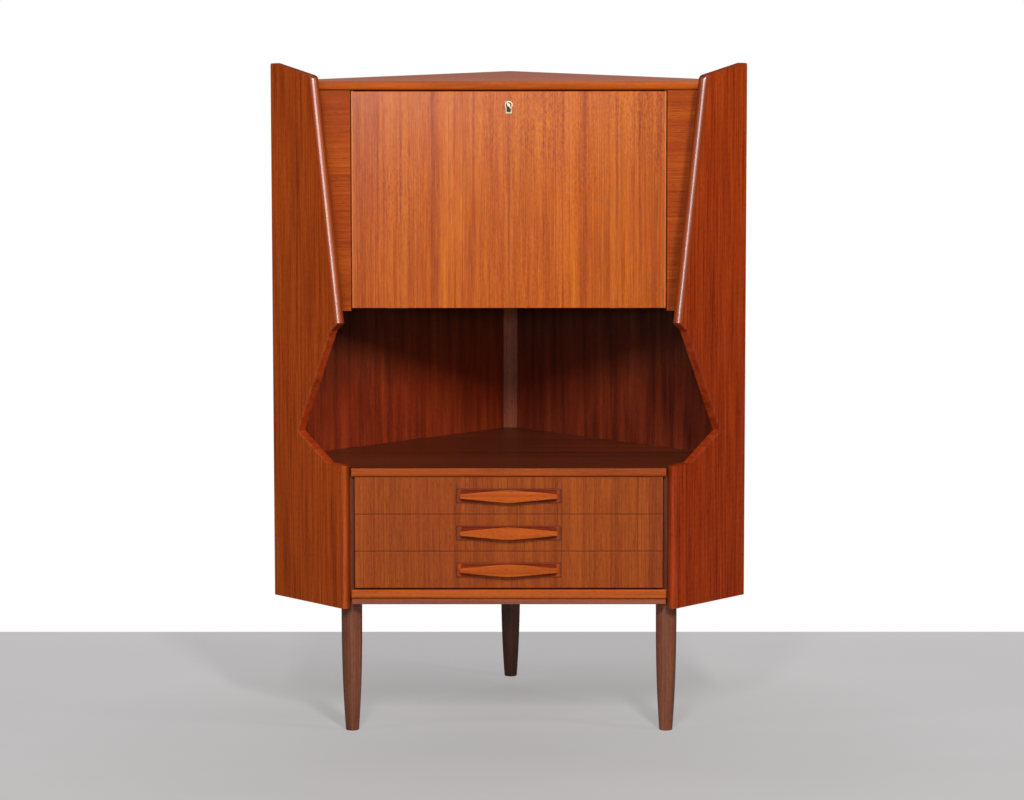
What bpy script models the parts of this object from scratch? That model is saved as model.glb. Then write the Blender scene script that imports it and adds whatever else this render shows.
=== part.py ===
"""Corner bar cabinet on three turned legs.

Two shaped wings stand at the ends of a right-angled back. Between them sit a bar
compartment with a drop front, an open niche and three drawers. X runs to the right,
Y runs back into the room's corner and Z runs up. The origin is on the floor, under
the middle of the cabinet's bounding box.
"""

import math

import bmesh
import bpy
from mathutils import Matrix, Vector

# Clearances
GAP = 0.0003            # between pieces that touch
HALF_GAP = GAP / 2      # each side of a mitre
OVERRUN = 0.002         # how far a cutter runs past the face that it opens
EASE = 0.0008           # arris taken off a board's edges

# Plan, measured forward of the line through the wings' wall edges
WIDTH = 1.000           # across the wings' wall edges
WALL_TURN = math.radians(45)
WING_TURN = math.radians(49)
WING_THICK = 0.020
BACK_THICK = 0.010
CASE_REACH = 0.030      # face of the bar compartment
NOSE_REACH = 0.182      # nosing of the niche shelf and of the base
DRAWER_REACH = 0.178    # face of the drawers
SIDE_REACH = 0.170      # front edges of the drawer case's sides
NOSE_SIDE_GAP = 0.0008  # nosing's end to the foot lip's inner arris

# Levels, from the floor up
LEG_CLEAR = 0.266       # floor to the wings' lower edges
RAIL_RISE = 0.0103      # wings' lower edges to the base rail
RAIL_HEIGHT = 0.011
BASE_THICK = 0.0196
BAY_HEIGHT = 0.2378     # clear height of the drawer bay
SHELF_THICK = 0.018
NICHE_HEIGHT = 0.3207
FLOOR_THICK = 0.018
BAR_HEIGHT = 0.439
TOP_THICK = 0.018

# Wing outline: reach is along the wing from its wall edge
WING_FOOT_REACH = 0.2387
WING_SILL_REACH = 0.184
WING_WAIST_REACH = 0.0845
WING_CHIN_REACH = 0.197
WING_KNEE_REACH = 0.2223
WING_TOP_REACH = 0.140
WING_SILL_RISE = 0.0047     # above the niche shelf
WING_WAIST_RISE = 0.0637    # above the niche shelf
WING_KNEE_DROP = 0.019      # below the bar floor
WING_CHIN_DROP = 0.0365     # below the bar floor
WING_TOP_WALL_RISE = 0.0385     # above the top panel, at the wall edge
WING_TOP_FRONT_RISE = 0.0138    # above the top panel, at the front lip
WING_CORNER = 0.006             # rounded top corners
FRONT_LIP = 0.012
FRONT_LIP_ROUND = 0.006
NICHE_LIP = 0.007
NICHE_LIP_ROUND = 0.0012

# Boards between the wings
NOSE_ROUND = 0.0062             # lower edge of a nosing
NOSE_TOP_SHARE = 0.2            # its upper edge against the lower
POST_FACE = 0.030               # width of the corner post
RAIL_SETBACK = 0.003
RAIL_DEPTH = 0.020
BAR_SIDE_LAP = 0.006            # bar side behind the door's edge, as its stop
BAR_SIDE_THICK = 0.014
STILE_DROP = 0.006              # stile below the door
STILE_SHOW = 0.007              # stile beside the wing's knee
CASE_SIDE_THICK = 0.016
CASE_SIDE_EDGE = 0.005          # case side inside the nosing's end

# Legs
LEG_TOP_RADIUS = 0.0219
LEG_FOOT_RADIUS = 0.0139
LEG_SWELL = 2.7                 # exponent of the taper
LEG_FOOT_ROUND = 0.0022
LEG_STEPS = 24
LEG_PROFILE_STEPS = 9
FRONT_LEG_REACH = 0.130
FRONT_LEG_CLEAR = 0.001         # to the wing's inner face
BACK_LEG_CLEAR = 0.0064         # to the room's walls
SPIGOT_RADIUS = 0.0065
SPIGOT_LENGTH = 0.015
SPIGOT_CLEAR = 0.0004

# Drop front and its hinges
FRONT_THICK = 0.019             # of the door and of the stiles beside it
DOOR_SIDE_GAP = 0.002
DOOR_TOP_GAP = 0.0025
DOOR_DROP = 0.001               # door below the bar floor's underside
HINGE_GAP = 0.001               # door to bar floor
HINGE_INSET = 0.095             # hinge centres from the door's ends
LEAF_LENGTH = 0.044
LEAF_DEPTH = 0.020              # of the leaf on the door
LEAF_RISE = 0.0145              # of the leaf on the bar floor's edge
LEAF_THICK = 0.0014
KNUCKLE_RADIUS = 0.0026
KNUCKLE_SHARE = 0.5             # of the leaf's length on the door's middle knuckle
PIN_RADIUS = 0.0012
PIN_BORE_RADIUS = 0.0017
KNUCKLE_CLEAR = 0.0006

# Lock and key
KEY_DROP = 0.0286               # key's axis below the door's top edge
KEYHOLE_HEAD = 0.0084           # radius of the liner's round head
KEYHOLE_SLOT_HALF = 0.0068
KEYHOLE_FOOT = 0.0178           # key's axis to the liner's lower end
KEYHOLE_WALL = 0.0026
KEYHOLE_DEPTH = 0.008
KEYHOLE_ARC_STEPS = 12
LINER_PROUD = 0.0006
LOCK_HALF = 0.022
LOCK_HEIGHT = 0.050
LOCK_THICK = 0.010
LOCK_CHAMBER_RADIUS = 0.0085
LOCK_CHAMBER_DEPTH = 0.0065
BOLT_HALF = 0.007
BOLT_THICK = 0.004
BOLT_HEIGHT = 0.014
BOLT_LIFT = 0.0056              # above the door when thrown
BOLT_SINK = 0.0025              # below its rest when the key is upright
KEY_TURN = math.radians(37)     # how far the key stands turned at rest
KEY_SHAFT_RADIUS = 0.0022
KEY_BIT_REACH = 0.0062
KEY_BIT_THICK = 0.0022
KEY_BIT_DEPTH = 0.0045
KEY_BOW_HALF_WIDTH = 0.0118
KEY_BOW_HALF_DEPTH = 0.0085
KEY_BOW_RIM = 0.0034
KEY_BOW_THICK = 0.0028
KEY_STAND_OFF = 0.007           # liner to the bow's rim
KEY_STEPS = 20

# Sliding stay on the right of the door
STAY_RADIUS = 0.090             # both pivots from the hinge line
STAY_LIFT = 0.010               # rod's pivot off the door's inner face
STAY_CLOSED = 0.030             # between the two pivots with the door shut
STAY_ROD_RADIUS = 0.003
STAY_ROD_TAIL = 0.010           # rod past the guide with the door open
STAY_SIDE_CLEAR = 0.0095        # rod's axis off the bar side
STAY_STOP_RADIUS = 0.005
STAY_STOP_LENGTH = 0.004
STAY_EYE_RADIUS = 0.0055
STAY_EYE_THICK = 0.0064
STAY_PIN_RADIUS = 0.002
STAY_PIN_CLEAR = 0.0004
STAY_BLOCK = 0.012              # side of the guide's block
STAY_BORE_CLEAR = 0.0005
STAY_PIVOT_RADIUS = 0.0025
STAY_PIVOT_SINK = 0.006         # guide's pivot into the bar side
STAY_PLATE_HALF = 0.010
STAY_PLATE_HEIGHT = 0.026
STAY_PLATE_THICK = 0.0015
STAY_STEPS = 16

# Drawers
DRAWER_COUNT = 3
DRAWER_GAP = 0.001              # above and between the fronts
DRAWER_LIFT = 0.0034            # lowest front above the base
DRAWER_SIDE_GAP = 0.0015        # front to the case side
DRAWER_BOX_GAP = 0.002          # drawer side to the case side
DRAWER_FRONT_THICK = 0.018
DRAWER_FRONT_ROUND = 0.0010
DRAWER_BACK_CLEAR = 0.017       # box to the back panels, at its corners
DRAWER_SIDE_THICK = 0.011
DRAWER_SIDE_RISE = 0.004        # above the front's lower edge
DRAWER_SIDE_DROP = 0.010        # below the front's upper edge
DRAWER_BACK_THICK = 0.010
DRAWER_BACK_DROP = 0.004        # below the drawer side's upper edge
DRAWER_BOTTOM_THICK = 0.005
DRAWER_BOTTOM_RISE = 0.008
DRAWER_BOTTOM_HOUSING = 0.005   # depth of the groove round the bottom
RUNNER_RISE = 0.032             # above the front's lower edge
RUNNER_HEIGHT = 0.009
RUNNER_PROUD = 0.0065           # out of the case side
RUNNER_CLEAR = 0.0008           # runner in its groove
RUNNER_SETBACK = 0.012          # behind the drawer front's inner face

# Carved pulls
PULL_PLATE_HALF = 0.1095
PULL_PLATE_HEIGHT = 0.0298
PULL_PLATE_THICK = 0.0025
PULL_FIELD_HALF = 0.0992        # sunk field round the lozenge
PULL_FIELD_DEPTH = 0.0016
PULL_RIM = 0.003                # above and below the field
PULL_HALF = 0.1012
PULL_HEIGHT = 0.0268
PULL_END_HEIGHT = 0.0092
PULL_PROUD = 0.0115
PULL_NECK_SHARE = 0.60          # height at the plate against the face
PULL_CREST_SHARE = 0.12         # rounded stretch at the middle against half the length
PULL_STEPS = 16
PULL_ROUND = 0.0010

# Heights and depths that follow
RAIL_LOW = LEG_CLEAR + RAIL_RISE
BASE_LOW = RAIL_LOW + RAIL_HEIGHT + GAP
BASE_TOP = BASE_LOW + BASE_THICK
SHELF_LOW = BASE_TOP + BAY_HEIGHT
SHELF_TOP = SHELF_LOW + SHELF_THICK
FLOOR_LOW = SHELF_TOP + NICHE_HEIGHT
FLOOR_TOP = FLOOR_LOW + FLOOR_THICK
TOP_LOW = FLOOR_TOP + BAR_HEIGHT
TOP_TOP = TOP_LOW + TOP_THICK
HALF_WIDTH = WIDTH / 2
FRONT_REACH = DRAWER_REACH + PULL_PLATE_THICK + GAP + PULL_PROUD
WALL_EDGE_Y = (FRONT_REACH - HALF_WIDTH) / 2
CASE_Y = WALL_EDGE_Y - CASE_REACH
NOSE_Y = WALL_EDGE_Y - NOSE_REACH
DRAWER_Y = WALL_EDGE_Y - DRAWER_REACH
HINGE_Y = CASE_Y + FRONT_THICK
DOOR_LOW = FLOOR_LOW - DOOR_DROP
DOOR_HEIGHT = TOP_LOW - DOOR_TOP_GAP - DOOR_LOW
DRAWER_PITCH = (BAY_HEIGHT - DRAWER_LIFT) / DRAWER_COUNT
DRAWER_FRONT_HEIGHT = DRAWER_PITCH - DRAWER_GAP

# Half widths that follow from the wings
WING_INNER_SHIFT = WING_THICK * math.sin(WING_TURN)
FOOT_TIP_X = HALF_WIDTH - WING_FOOT_REACH * math.cos(WING_TURN) - WING_INNER_SHIFT
KNEE_TIP_X = HALF_WIDTH - WING_KNEE_REACH * math.cos(WING_TURN) - WING_INNER_SHIFT
NOSE_HALF = FOOT_TIP_X - NOSE_SIDE_GAP
OPENING_HALF = KNEE_TIP_X - STILE_SHOW
DOOR_HALF = OPENING_HALF - DOOR_SIDE_GAP
HINGE_OFFSET = DOOR_HALF - HINGE_INSET
BAR_SIDE_X = OPENING_HALF - BAR_SIDE_LAP
CASE_SIDE_X = NOSE_HALF - CASE_SIDE_EDGE
DRAWER_FRONT_HALF = CASE_SIDE_X - DRAWER_SIDE_GAP
DRAWER_BOX_HALF = CASE_SIDE_X - DRAWER_BOX_GAP

# Colours, linear, and finish
TEAK_WING = (0.30, 0.065, 0.012)
TEAK_DOOR = (0.45, 0.110, 0.025)
TEAK_TOP = (0.36, 0.120, 0.060)
TEAK_NICHE = (0.16, 0.030, 0.008)
TEAK_DRAWER = (0.34, 0.085, 0.018)
TEAK_LEG = (0.11, 0.045, 0.022)
DRAWER_MAPLE = (0.60, 0.42, 0.24)
BACK_PLY = (0.42, 0.27, 0.14)
BRASS = (0.80, 0.58, 0.26)
WOOD_ROUGHNESS = 0.38
RAW_ROUGHNESS = 0.60
BRASS_ROUGHNESS = 0.28

SIDES = {"left": -1, "right": 1}


def clear_scene():
    """Remove whatever the file opened with."""
    for old in list(bpy.data.objects):
        bpy.data.objects.remove(old, do_unlink=True)


def make_collection(name):
    """A collection under the scene's own."""
    group = bpy.data.collections.new(name)
    bpy.context.scene.collection.children.link(group)
    return group


clear_scene()
CABINET = make_collection("corner_bar_cabinet")
CUTTERS = make_collection("cutters")


def paint(obj, colour, roughness=WOOD_ROUGHNESS, metallic=0.0):
    """Give the object a Principled material of its own."""
    finish = bpy.data.materials.new(obj.name)
    finish.use_nodes = True
    shader = finish.node_tree.nodes["Principled BSDF"]
    shader.inputs["Base Color"].default_value = (*colour, 1.0)
    shader.inputs["Roughness"].default_value = roughness
    shader.inputs["Metallic"].default_value = metallic
    obj.data.materials.clear()
    obj.data.materials.append(finish)
    return obj


def brass(obj):
    """Polished brass, for the hinges, the lock and the stay."""
    return paint(obj, BRASS, BRASS_ROUGHNESS, 1.0)


def wrap(name, mesh, group=CABINET):
    """An object in its collection around a mesh."""
    obj = bpy.data.objects.new(name, mesh)
    group.objects.link(obj)
    return obj


def axis_empty(name, place, parent=None):
    """An empty that marks a joint and carries its moving pieces."""
    obj = bpy.data.objects.new(name, None)
    CABINET.objects.link(obj)
    obj.location = place
    obj.parent = parent
    return obj


def carry(obj, parent):
    """Hang an object on an empty, with its place counted from there."""
    obj.parent = parent
    return obj


def tidy_mesh(mesh):
    """Weld the caps, join flat triangles into faces and point them outwards."""
    shape = bmesh.new()
    shape.from_mesh(mesh)
    bmesh.ops.remove_doubles(shape, verts=shape.verts, dist=GAP / 30)
    bmesh.ops.dissolve_limit(
        shape, angle_limit=math.radians(0.1), verts=shape.verts, edges=shape.edges
    )
    bmesh.ops.recalc_face_normals(shape, faces=shape.faces)
    shape.to_mesh(mesh)
    shape.free()


def board(name, outlines, thick, low=0.0, group=CABINET):
    """A flat board cut to an outline, with further outlines as holes, from local Z low up."""
    curve = bpy.data.curves.new(name, "CURVE")
    curve.dimensions = "2D"
    curve.fill_mode = "BOTH"
    curve.extrude = thick / 2
    for outline in outlines:
        spline = curve.splines.new("POLY")
        spline.points.add(len(outline) - 1)
        for point, (x, y) in zip(spline.points, outline):
            point.co = (x, y, 0.0, 1.0)
        spline.use_cyclic_u = True
    drawn = bpy.data.objects.new(name + "_curve", curve)
    bpy.context.scene.collection.objects.link(drawn)
    graph = bpy.context.evaluated_depsgraph_get()
    mesh = bpy.data.meshes.new_from_object(drawn.evaluated_get(graph))
    bpy.data.objects.remove(drawn, do_unlink=True)
    bpy.data.curves.remove(curve)
    mesh.transform(Matrix.Translation((0, 0, low + thick / 2)))
    tidy_mesh(mesh)
    mesh.name = name
    return wrap(name, mesh, group)


def box(name, low, high, group=CABINET):
    """A rectangular block between two corners."""
    bpy.ops.mesh.primitive_cube_add(size=1)
    obj = bpy.context.active_object
    size = Vector(high) - Vector(low)
    middle = (Vector(high) + Vector(low)) / 2
    obj.data.transform(Matrix.Translation(middle) @ Matrix.Diagonal((*size, 1)))
    return adopt(obj, name, group)


def rod(name, start, end, radius, steps, group=CABINET):
    """A plain cylinder between two points."""
    run = Vector(end) - Vector(start)
    bpy.ops.mesh.primitive_cylinder_add(vertices=steps, radius=radius, depth=run.length)
    obj = bpy.context.active_object
    turn = run.to_track_quat("Z", "Y").to_matrix().to_4x4()
    middle = (Vector(start) + Vector(end)) / 2
    obj.data.transform(Matrix.Translation(middle) @ turn)
    shade_round(obj)
    return adopt(obj, name, group)


def adopt(obj, name, group):
    """Name a fresh primitive and move it to its collection."""
    obj.name = name
    obj.data.name = name
    for old in list(obj.users_collection):
        old.objects.unlink(obj)
    group.objects.link(obj)
    return obj


def shade_round(obj):
    """Smooth shading with crisp arrises."""
    obj.data.shade_smooth()
    obj.data.set_sharp_from_angle(angle=math.radians(40))


def ease(obj, width=EASE, steps=1):
    """Take the arris off every sharp edge."""
    bevel = obj.modifiers.new("eased_edges", "BEVEL")
    bevel.width = width
    bevel.segments = steps
    bevel.limit_method = "ANGLE"
    bevel.angle_limit = math.radians(30)
    return obj


def round_edges(obj, width, steps, weigh):
    """Round the edges that weigh(a, b) gives a weight over zero, by that share of width."""
    mesh = obj.data
    weights = mesh.attributes.new("bevel_weight_edge", "FLOAT", "EDGE")
    for edge in mesh.edges:
        a, b = (mesh.vertices[i].co for i in edge.vertices)
        weights.data[edge.index].value = weigh(a, b)
    bevel = obj.modifiers.new("rounded_edges", "BEVEL")
    bevel.width = width
    bevel.segments = steps
    bevel.limit_method = "WEIGHT"
    shade_round(obj)
    return obj


def boolean(obj, other, operation):
    """Cut or join with a second solid, drawn in the object's own frame and kept hidden."""
    carry(other, obj.parent)
    other.location = obj.location
    other.hide_render = True
    other.display_type = "WIRE"
    step = obj.modifiers.new(operation.lower() + "_" + other.name, "BOOLEAN")
    step.operation = operation
    step.object = other
    step.solver = "EXACT"
    return obj


def cut(obj, cutter):
    """Take the cutter's space out of the object."""
    return boolean(obj, cutter, "DIFFERENCE")


def join(obj, other):
    """Make the two solids one body."""
    return boolean(obj, other, "UNION")


def meet(point, way, other_point, other_way):
    """Where two lines in a plane cross."""
    cross = way.x * other_way.y - way.y * other_way.x
    span = other_point - point
    along = (span.x * other_way.y - span.y * other_way.x) / cross
    return point + way * along


def inset(outline, distances):
    """An outline, listed anticlockwise, with each edge moved in by its own distance."""
    points = [Vector(p) for p in outline]
    lines = []
    for i, start in enumerate(points):
        way = (points[(i + 1) % len(points)] - start).normalized()
        inward = Vector((-way.y, way.x))
        lines.append((start + inward * distances[i], way))
    return [meet(*lines[i - 1], *lines[i]) for i in range(len(lines))]


def mirrored(half_outline):
    """A plan outline closed from its right half, which runs from front to back."""
    return half_outline + [Vector((-p.x, p.y)) for p in reversed(half_outline)]


# Plan lines on the right-hand side
WALL_CORNER = Vector((HALF_WIDTH, WALL_EDGE_Y))
WALL_WAY = Vector((-math.cos(WALL_TURN), math.sin(WALL_TURN)))
WALL_IN = Vector((-math.sin(WALL_TURN), -math.cos(WALL_TURN)))
WING_WAY = Vector((-math.cos(WING_TURN), -math.sin(WING_TURN)))
WING_IN = Vector((-math.sin(WING_TURN), math.cos(WING_TURN)))


def across(y):
    """The plan line square to the middle plane at a depth."""
    return Vector((0.0, y)), Vector((1.0, 0.0))


def along(x):
    """The plan line parallel to the middle plane at a distance from it."""
    return Vector((x, 0.0)), Vector((0.0, 1.0))


def wall_line(depth):
    """The plan line at a depth inside the room's right wall."""
    return WALL_CORNER + WALL_IN * depth, WALL_WAY


def wing_line(depth):
    """The plan line at a depth inside the right wing's outer face."""
    return WALL_CORNER + WING_IN * depth, WING_WAY


INSIDE_WING = WING_THICK + GAP
INSIDE_BACK = BACK_THICK + GAP
APEX_IN_Y = meet(*along(0.0), *wall_line(INSIDE_BACK)).y
POST_Y = APEX_IN_Y - POST_FACE / 2
DRAWER_END_Y = meet(*along(DRAWER_BOX_HALF), *wall_line(INSIDE_BACK)).y - DRAWER_BACK_CLEAR
DRAWER_DEPTH = DRAWER_END_Y - DRAWER_Y


def wing_outline():
    """The wing's outline as reach and height, anticlockwise from its lower wall corner."""
    sill = SHELF_TOP + WING_SILL_RISE - LEG_CLEAR
    waist = SHELF_TOP + WING_WAIST_RISE - LEG_CLEAR
    chin = FLOOR_LOW - WING_CHIN_DROP - LEG_CLEAR
    knee = FLOOR_LOW - WING_KNEE_DROP - LEG_CLEAR
    top_front = TOP_TOP + WING_TOP_FRONT_RISE - LEG_CLEAR
    top_wall = TOP_TOP + WING_TOP_WALL_RISE - LEG_CLEAR
    return [
        Vector((0.0, 0.0)),
        Vector((WING_FOOT_REACH, 0.0)),
        Vector((WING_FOOT_REACH, sill)),
        Vector((WING_SILL_REACH, sill)),
        Vector((WING_WAIST_REACH, waist)),
        Vector((WING_CHIN_REACH, chin)),
        Vector((WING_KNEE_REACH, knee)),
        Vector((WING_TOP_REACH, top_front)),
        Vector((0.0, top_wall)),
    ]


def wing_lips():
    """Name and width of the solid lip on each edge of the wing's outline, or no name."""
    foot = ("foot_lip", FRONT_LIP)
    niche = [("waist_lip", NICHE_LIP), ("niche_lip", NICHE_LIP), ("chin_lip", NICHE_LIP)]
    bare = ("", 0.0)
    return [bare, foot, bare, *niche, ("front_lip", FRONT_LIP), bare, bare]


def wing_frame(side):
    """Stands a wing's flat drawing on its place in the cabinet, and gives its lower face."""
    along_wing = Vector((side * WING_WAY.x, WING_WAY.y, 0.0))
    up = Vector((0.0, 0.0, 1.0))
    frame = Matrix((along_wing, up, along_wing.cross(up))).transposed().to_4x4()
    frame.translation = (side * HALF_WIDTH, WALL_EDGE_Y, LEG_CLEAR)
    return frame, -WING_THICK if side < 0 else 0.0


def upright_at(corner):
    """A test for the edge through the board's thickness at one corner of its outline."""

    def weigh(a, b):
        near = all((v.xy - corner).length < GAP / 2 for v in (a, b))
        return 1.0 if near else 0.0

    return weigh


def long_edges(start, end, with_end):
    """A test for the two edges along a lip's outer side, and the one at its far end."""
    way = (end - start).normalized()

    def off(v):
        span = v.xy - start
        return abs(way.x * span.y - way.y * span.x)

    def weigh(a, b):
        outer = off(a) < GAP / 2 and off(b) < GAP / 2
        lengthwise = abs(a.z - b.z) < GAP
        at_end = (a.xy - end).length < GAP
        return 1.0 if outer and (lengthwise or (with_end and at_end)) else 0.0

    return weigh


def make_wing(name, side):
    """A wing: its veneered panel and the solid lips mitred round its front edges."""
    outline = wing_outline()
    frame, low = wing_frame(side)
    widths = [width for lip, width in wing_lips()]
    panel = board(name, [inset(outline, [w + GAP if w else 0.0 for w in widths])], WING_THICK, low)
    round_edges(panel, WING_CORNER, 4, upright_at(outline[-1]))
    panel.matrix_world = frame
    paint(panel, TEAK_WING)
    inner = inset(outline, widths)
    for edge, (lip, width) in enumerate(wing_lips()):
        if not lip:
            continue
        after = (edge + 1) % len(outline)
        start_gap = HALF_GAP if widths[edge - 1] else 0.0
        end_gap = HALF_GAP if widths[after] else 0.0
        if lip == "waist_lip":
            start_gap = GAP
        quad = inset(
            [outline[edge], outline[after], inner[after], inner[edge]], [0.0, end_gap, 0.0, start_gap]
        )
        strip = board(f"{name}_{lip}", [quad], WING_THICK, low)
        front = width == FRONT_LIP
        size = FRONT_LIP_ROUND if front else NICHE_LIP_ROUND
        ends = long_edges(quad[0], quad[1], lip == "front_lip")
        round_edges(strip, size, 4 if front else 1, ends)
        strip.matrix_world = frame
        paint(strip, TEAK_WING)


def shelf_outline(front_y, half, back_depth, blunt):
    """Plan of a board between the wings and the back; blunt leaves room for the corner post."""
    side = wing_line(INSIDE_WING)
    half_outline = [Vector((half, front_y))] if half else [meet(*across(front_y), *side)]
    if half:
        half_outline.append(meet(*along(half), *side))
    half_outline.append(meet(*side, *wall_line(back_depth)))
    if blunt:
        half_outline.append(meet(*across(POST_Y - GAP), *wall_line(back_depth)))
        return mirrored(half_outline)
    apex = meet(*along(0.0), *wall_line(back_depth))
    return half_outline + [apex] + [Vector((-p.x, p.y)) for p in reversed(half_outline)]


def nosing(front_y, thick):
    """A test for the two edges of a nosing: the lower in full and the upper by a share."""

    def weigh(a, b):
        on_front = all(abs(v.y - front_y) < GAP for v in (a, b)) and abs(a.x - b.x) > thick
        if not on_front:
            return 0.0
        return NOSE_TOP_SHARE if a.z > thick / 2 else 1.0

    return weigh


def make_board(name, outline, low_z, thick, front_y, colour):
    """A horizontal board with a rounded nosing."""
    obj = board(name, [outline], thick)
    obj.location.z = low_z
    round_edges(obj, NOSE_ROUND, 3, nosing(front_y, thick))
    return paint(obj, colour)


def make_top():
    """The top, with the mortise that takes the lock's bolt."""
    outline = shelf_outline(CASE_Y, 0.0, 0.0, False)
    top = make_board("top_panel", outline, TOP_LOW, TOP_THICK, CASE_Y, TEAK_TOP)
    reach = BOLT_LIFT - DOOR_TOP_GAP + OVERRUN
    low, high = bolt_room(TOP_LOW - OVERRUN, TOP_LOW + reach)
    cut(top, box("cut_bolt_mortise", shifted(low, top), shifted(high, top), CUTTERS))


def shifted(point, obj):
    """A cabinet point in the object's own frame, where that is only moved."""
    return Vector(point) - obj.location


def bolt_room(low_z, high_z):
    """Corners of the bolt's running space between two heights."""
    middle = HINGE_Y + GAP + LOCK_THICK / 2
    half_depth = BOLT_THICK / 2 + GAP
    half = BOLT_HALF + GAP
    return (-half, middle - half_depth, low_z), (half, middle + half_depth, high_z)


def make_base():
    """The base board over the legs' spigots."""
    outline = shelf_outline(NOSE_Y, NOSE_HALF, INSIDE_BACK, False)
    base = make_board("base_panel", outline, BASE_LOW, BASE_THICK, NOSE_Y, TEAK_DRAWER)
    for name, x, y in leg_places():
        start = shifted((x, y, BASE_LOW - OVERRUN), base)
        end = shifted((x, y, BASE_LOW + SPIGOT_LENGTH + GAP), base)
        hole = rod("cut_" + name, start, end, SPIGOT_RADIUS + SPIGOT_CLEAR, LEG_STEPS, CUTTERS)
        cut(base, hole)


def make_shelves():
    """The niche shelf and the bar compartment's floor."""
    outline = shelf_outline(NOSE_Y, NOSE_HALF, INSIDE_BACK, True)
    make_board("niche_shelf", outline, SHELF_LOW, SHELF_THICK, NOSE_Y, TEAK_NICHE)
    front_y = HINGE_Y + HINGE_GAP
    floor = board("bar_floor", [shelf_outline(front_y, 0.0, INSIDE_BACK, True)], FLOOR_THICK)
    floor.location.z = FLOOR_LOW
    paint(floor, TEAK_NICHE)
    for side in SIDES.values():
        low, high = leaf_room(side, -OVERRUN, GAP + LEAF_THICK + GAP, LEAF_RISE)
        cut(floor, box("cut_floor_leaf", shifted(low, floor), shifted(high, floor), CUTTERS))
        cut(floor, knuckle_room("cut_floor_knuckle", side, floor.location))


def make_backs():
    """The two back panels, mitred at the corner, and the post that joins them."""
    far = HALF_GAP
    plan = [
        meet(*wing_line(INSIDE_WING), *wall_line(0.0)),
        meet(*along(far), *wall_line(0.0)),
        meet(*along(far), *wall_line(BACK_THICK)),
        meet(*wing_line(INSIDE_WING), *wall_line(BACK_THICK)),
    ]
    for name, side in SIDES.items():
        outline = [Vector((side * p.x, p.y)) for p in plan]
        panel = board("back_panel_" + name, [outline], TOP_LOW - GAP - BASE_LOW)
        panel.location.z = BASE_LOW
        paint(panel, TEAK_NICHE)
    half = POST_FACE / 2
    face = [Vector((-half, POST_Y)), Vector((half, POST_Y)), Vector((0.0, APEX_IN_Y))]
    post = board("corner_post", [face], TOP_LOW - BASE_TOP - GAP - GAP)
    post.location.z = BASE_TOP + GAP
    paint(post, TEAK_NICHE)


def make_stiles():
    """The stiles beside the door, cut to the wings' slant."""
    low_z = DOOR_LOW - STILE_DROP
    for name, side in SIDES.items():
        plan = [
            Vector((OPENING_HALF, CASE_Y)),
            meet(*across(CASE_Y), *wing_line(INSIDE_WING)),
            meet(*across(HINGE_Y), *wing_line(INSIDE_WING)),
            Vector((OPENING_HALF, HINGE_Y)),
        ]
        outline = [Vector((side * p.x, p.y)) for p in plan]
        stile = board("stile_" + name, [outline], TOP_LOW - GAP - low_z)
        stile.location.z = low_z
        ease(stile)
        paint(stile, TEAK_DOOR)


def make_bar_sides():
    """The bar compartment's sides, which stop the door and carry the stay's guide."""
    for name, side in SIDES.items():
        outer = BAR_SIDE_X + BAR_SIDE_THICK
        plan = [
            Vector((BAR_SIDE_X, HINGE_Y + GAP)),
            Vector((outer, HINGE_Y + GAP)),
            meet(*along(outer), *wall_line(INSIDE_BACK)),
            meet(*along(BAR_SIDE_X), *wall_line(INSIDE_BACK)),
        ]
        outline = [Vector((side * p.x, p.y)) for p in plan]
        panel = board("bar_side_" + name, [outline], BAR_HEIGHT - GAP - GAP)
        panel.location.z = FLOOR_TOP + GAP
        paint(panel, TEAK_NICHE)
        if name == "right":
            y, z = stay_guide_place()
            start = shifted((BAR_SIDE_X - OVERRUN, y, z), panel)
            end = shifted((BAR_SIDE_X + STAY_PIVOT_SINK + GAP, y, z), panel)
            radius = STAY_PIVOT_RADIUS + STAY_PIN_CLEAR
            cut(panel, rod("cut_guide_pivot", start, end, radius, STAY_STEPS, CUTTERS))


def runner_span():
    """Where a runner starts and ends along the drawer's travel."""
    start = DRAWER_Y + DRAWER_FRONT_THICK + RUNNER_SETBACK
    return start, DRAWER_Y + DRAWER_DEPTH


def drawer_level(number):
    """Height of a drawer front's lower edge; the first drawer is the top one."""
    return BASE_TOP + DRAWER_LIFT + DRAWER_PITCH * (DRAWER_COUNT - number)


def make_case_sides():
    """The drawer case's sides, each with its three runners glued on."""
    outer = CASE_SIDE_X + CASE_SIDE_THICK
    front_y = WALL_EDGE_Y - SIDE_REACH
    tip = NOSE_HALF
    low_z = BASE_TOP + GAP
    for name, side in SIDES.items():
        plan = [
            Vector((CASE_SIDE_X, front_y)),
            Vector((tip, front_y)),
            meet(*along(tip), *wing_line(INSIDE_WING)),
            meet(*along(outer), *wing_line(INSIDE_WING)),
            meet(*along(outer), *wall_line(INSIDE_BACK)),
            meet(*along(CASE_SIDE_X), *wall_line(INSIDE_BACK)),
        ]
        outline = [Vector((side * p.x, p.y)) for p in plan]
        panel = board("drawer_case_" + name, [outline], BAY_HEIGHT - GAP - GAP)
        panel.location.z = low_z
        paint(panel, TEAK_DRAWER)
        start, end = runner_span()
        for number in range(1, DRAWER_COUNT + 1):
            low = drawer_level(number) + RUNNER_RISE - low_z
            inner, seat = CASE_SIDE_X - RUNNER_PROUD, CASE_SIDE_X + GAP
            xs = sorted((side * inner, side * seat))
            high = low + RUNNER_HEIGHT
            join(panel, box("runner", (xs[0], start, low), (xs[1], end, high), CUTTERS))


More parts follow.
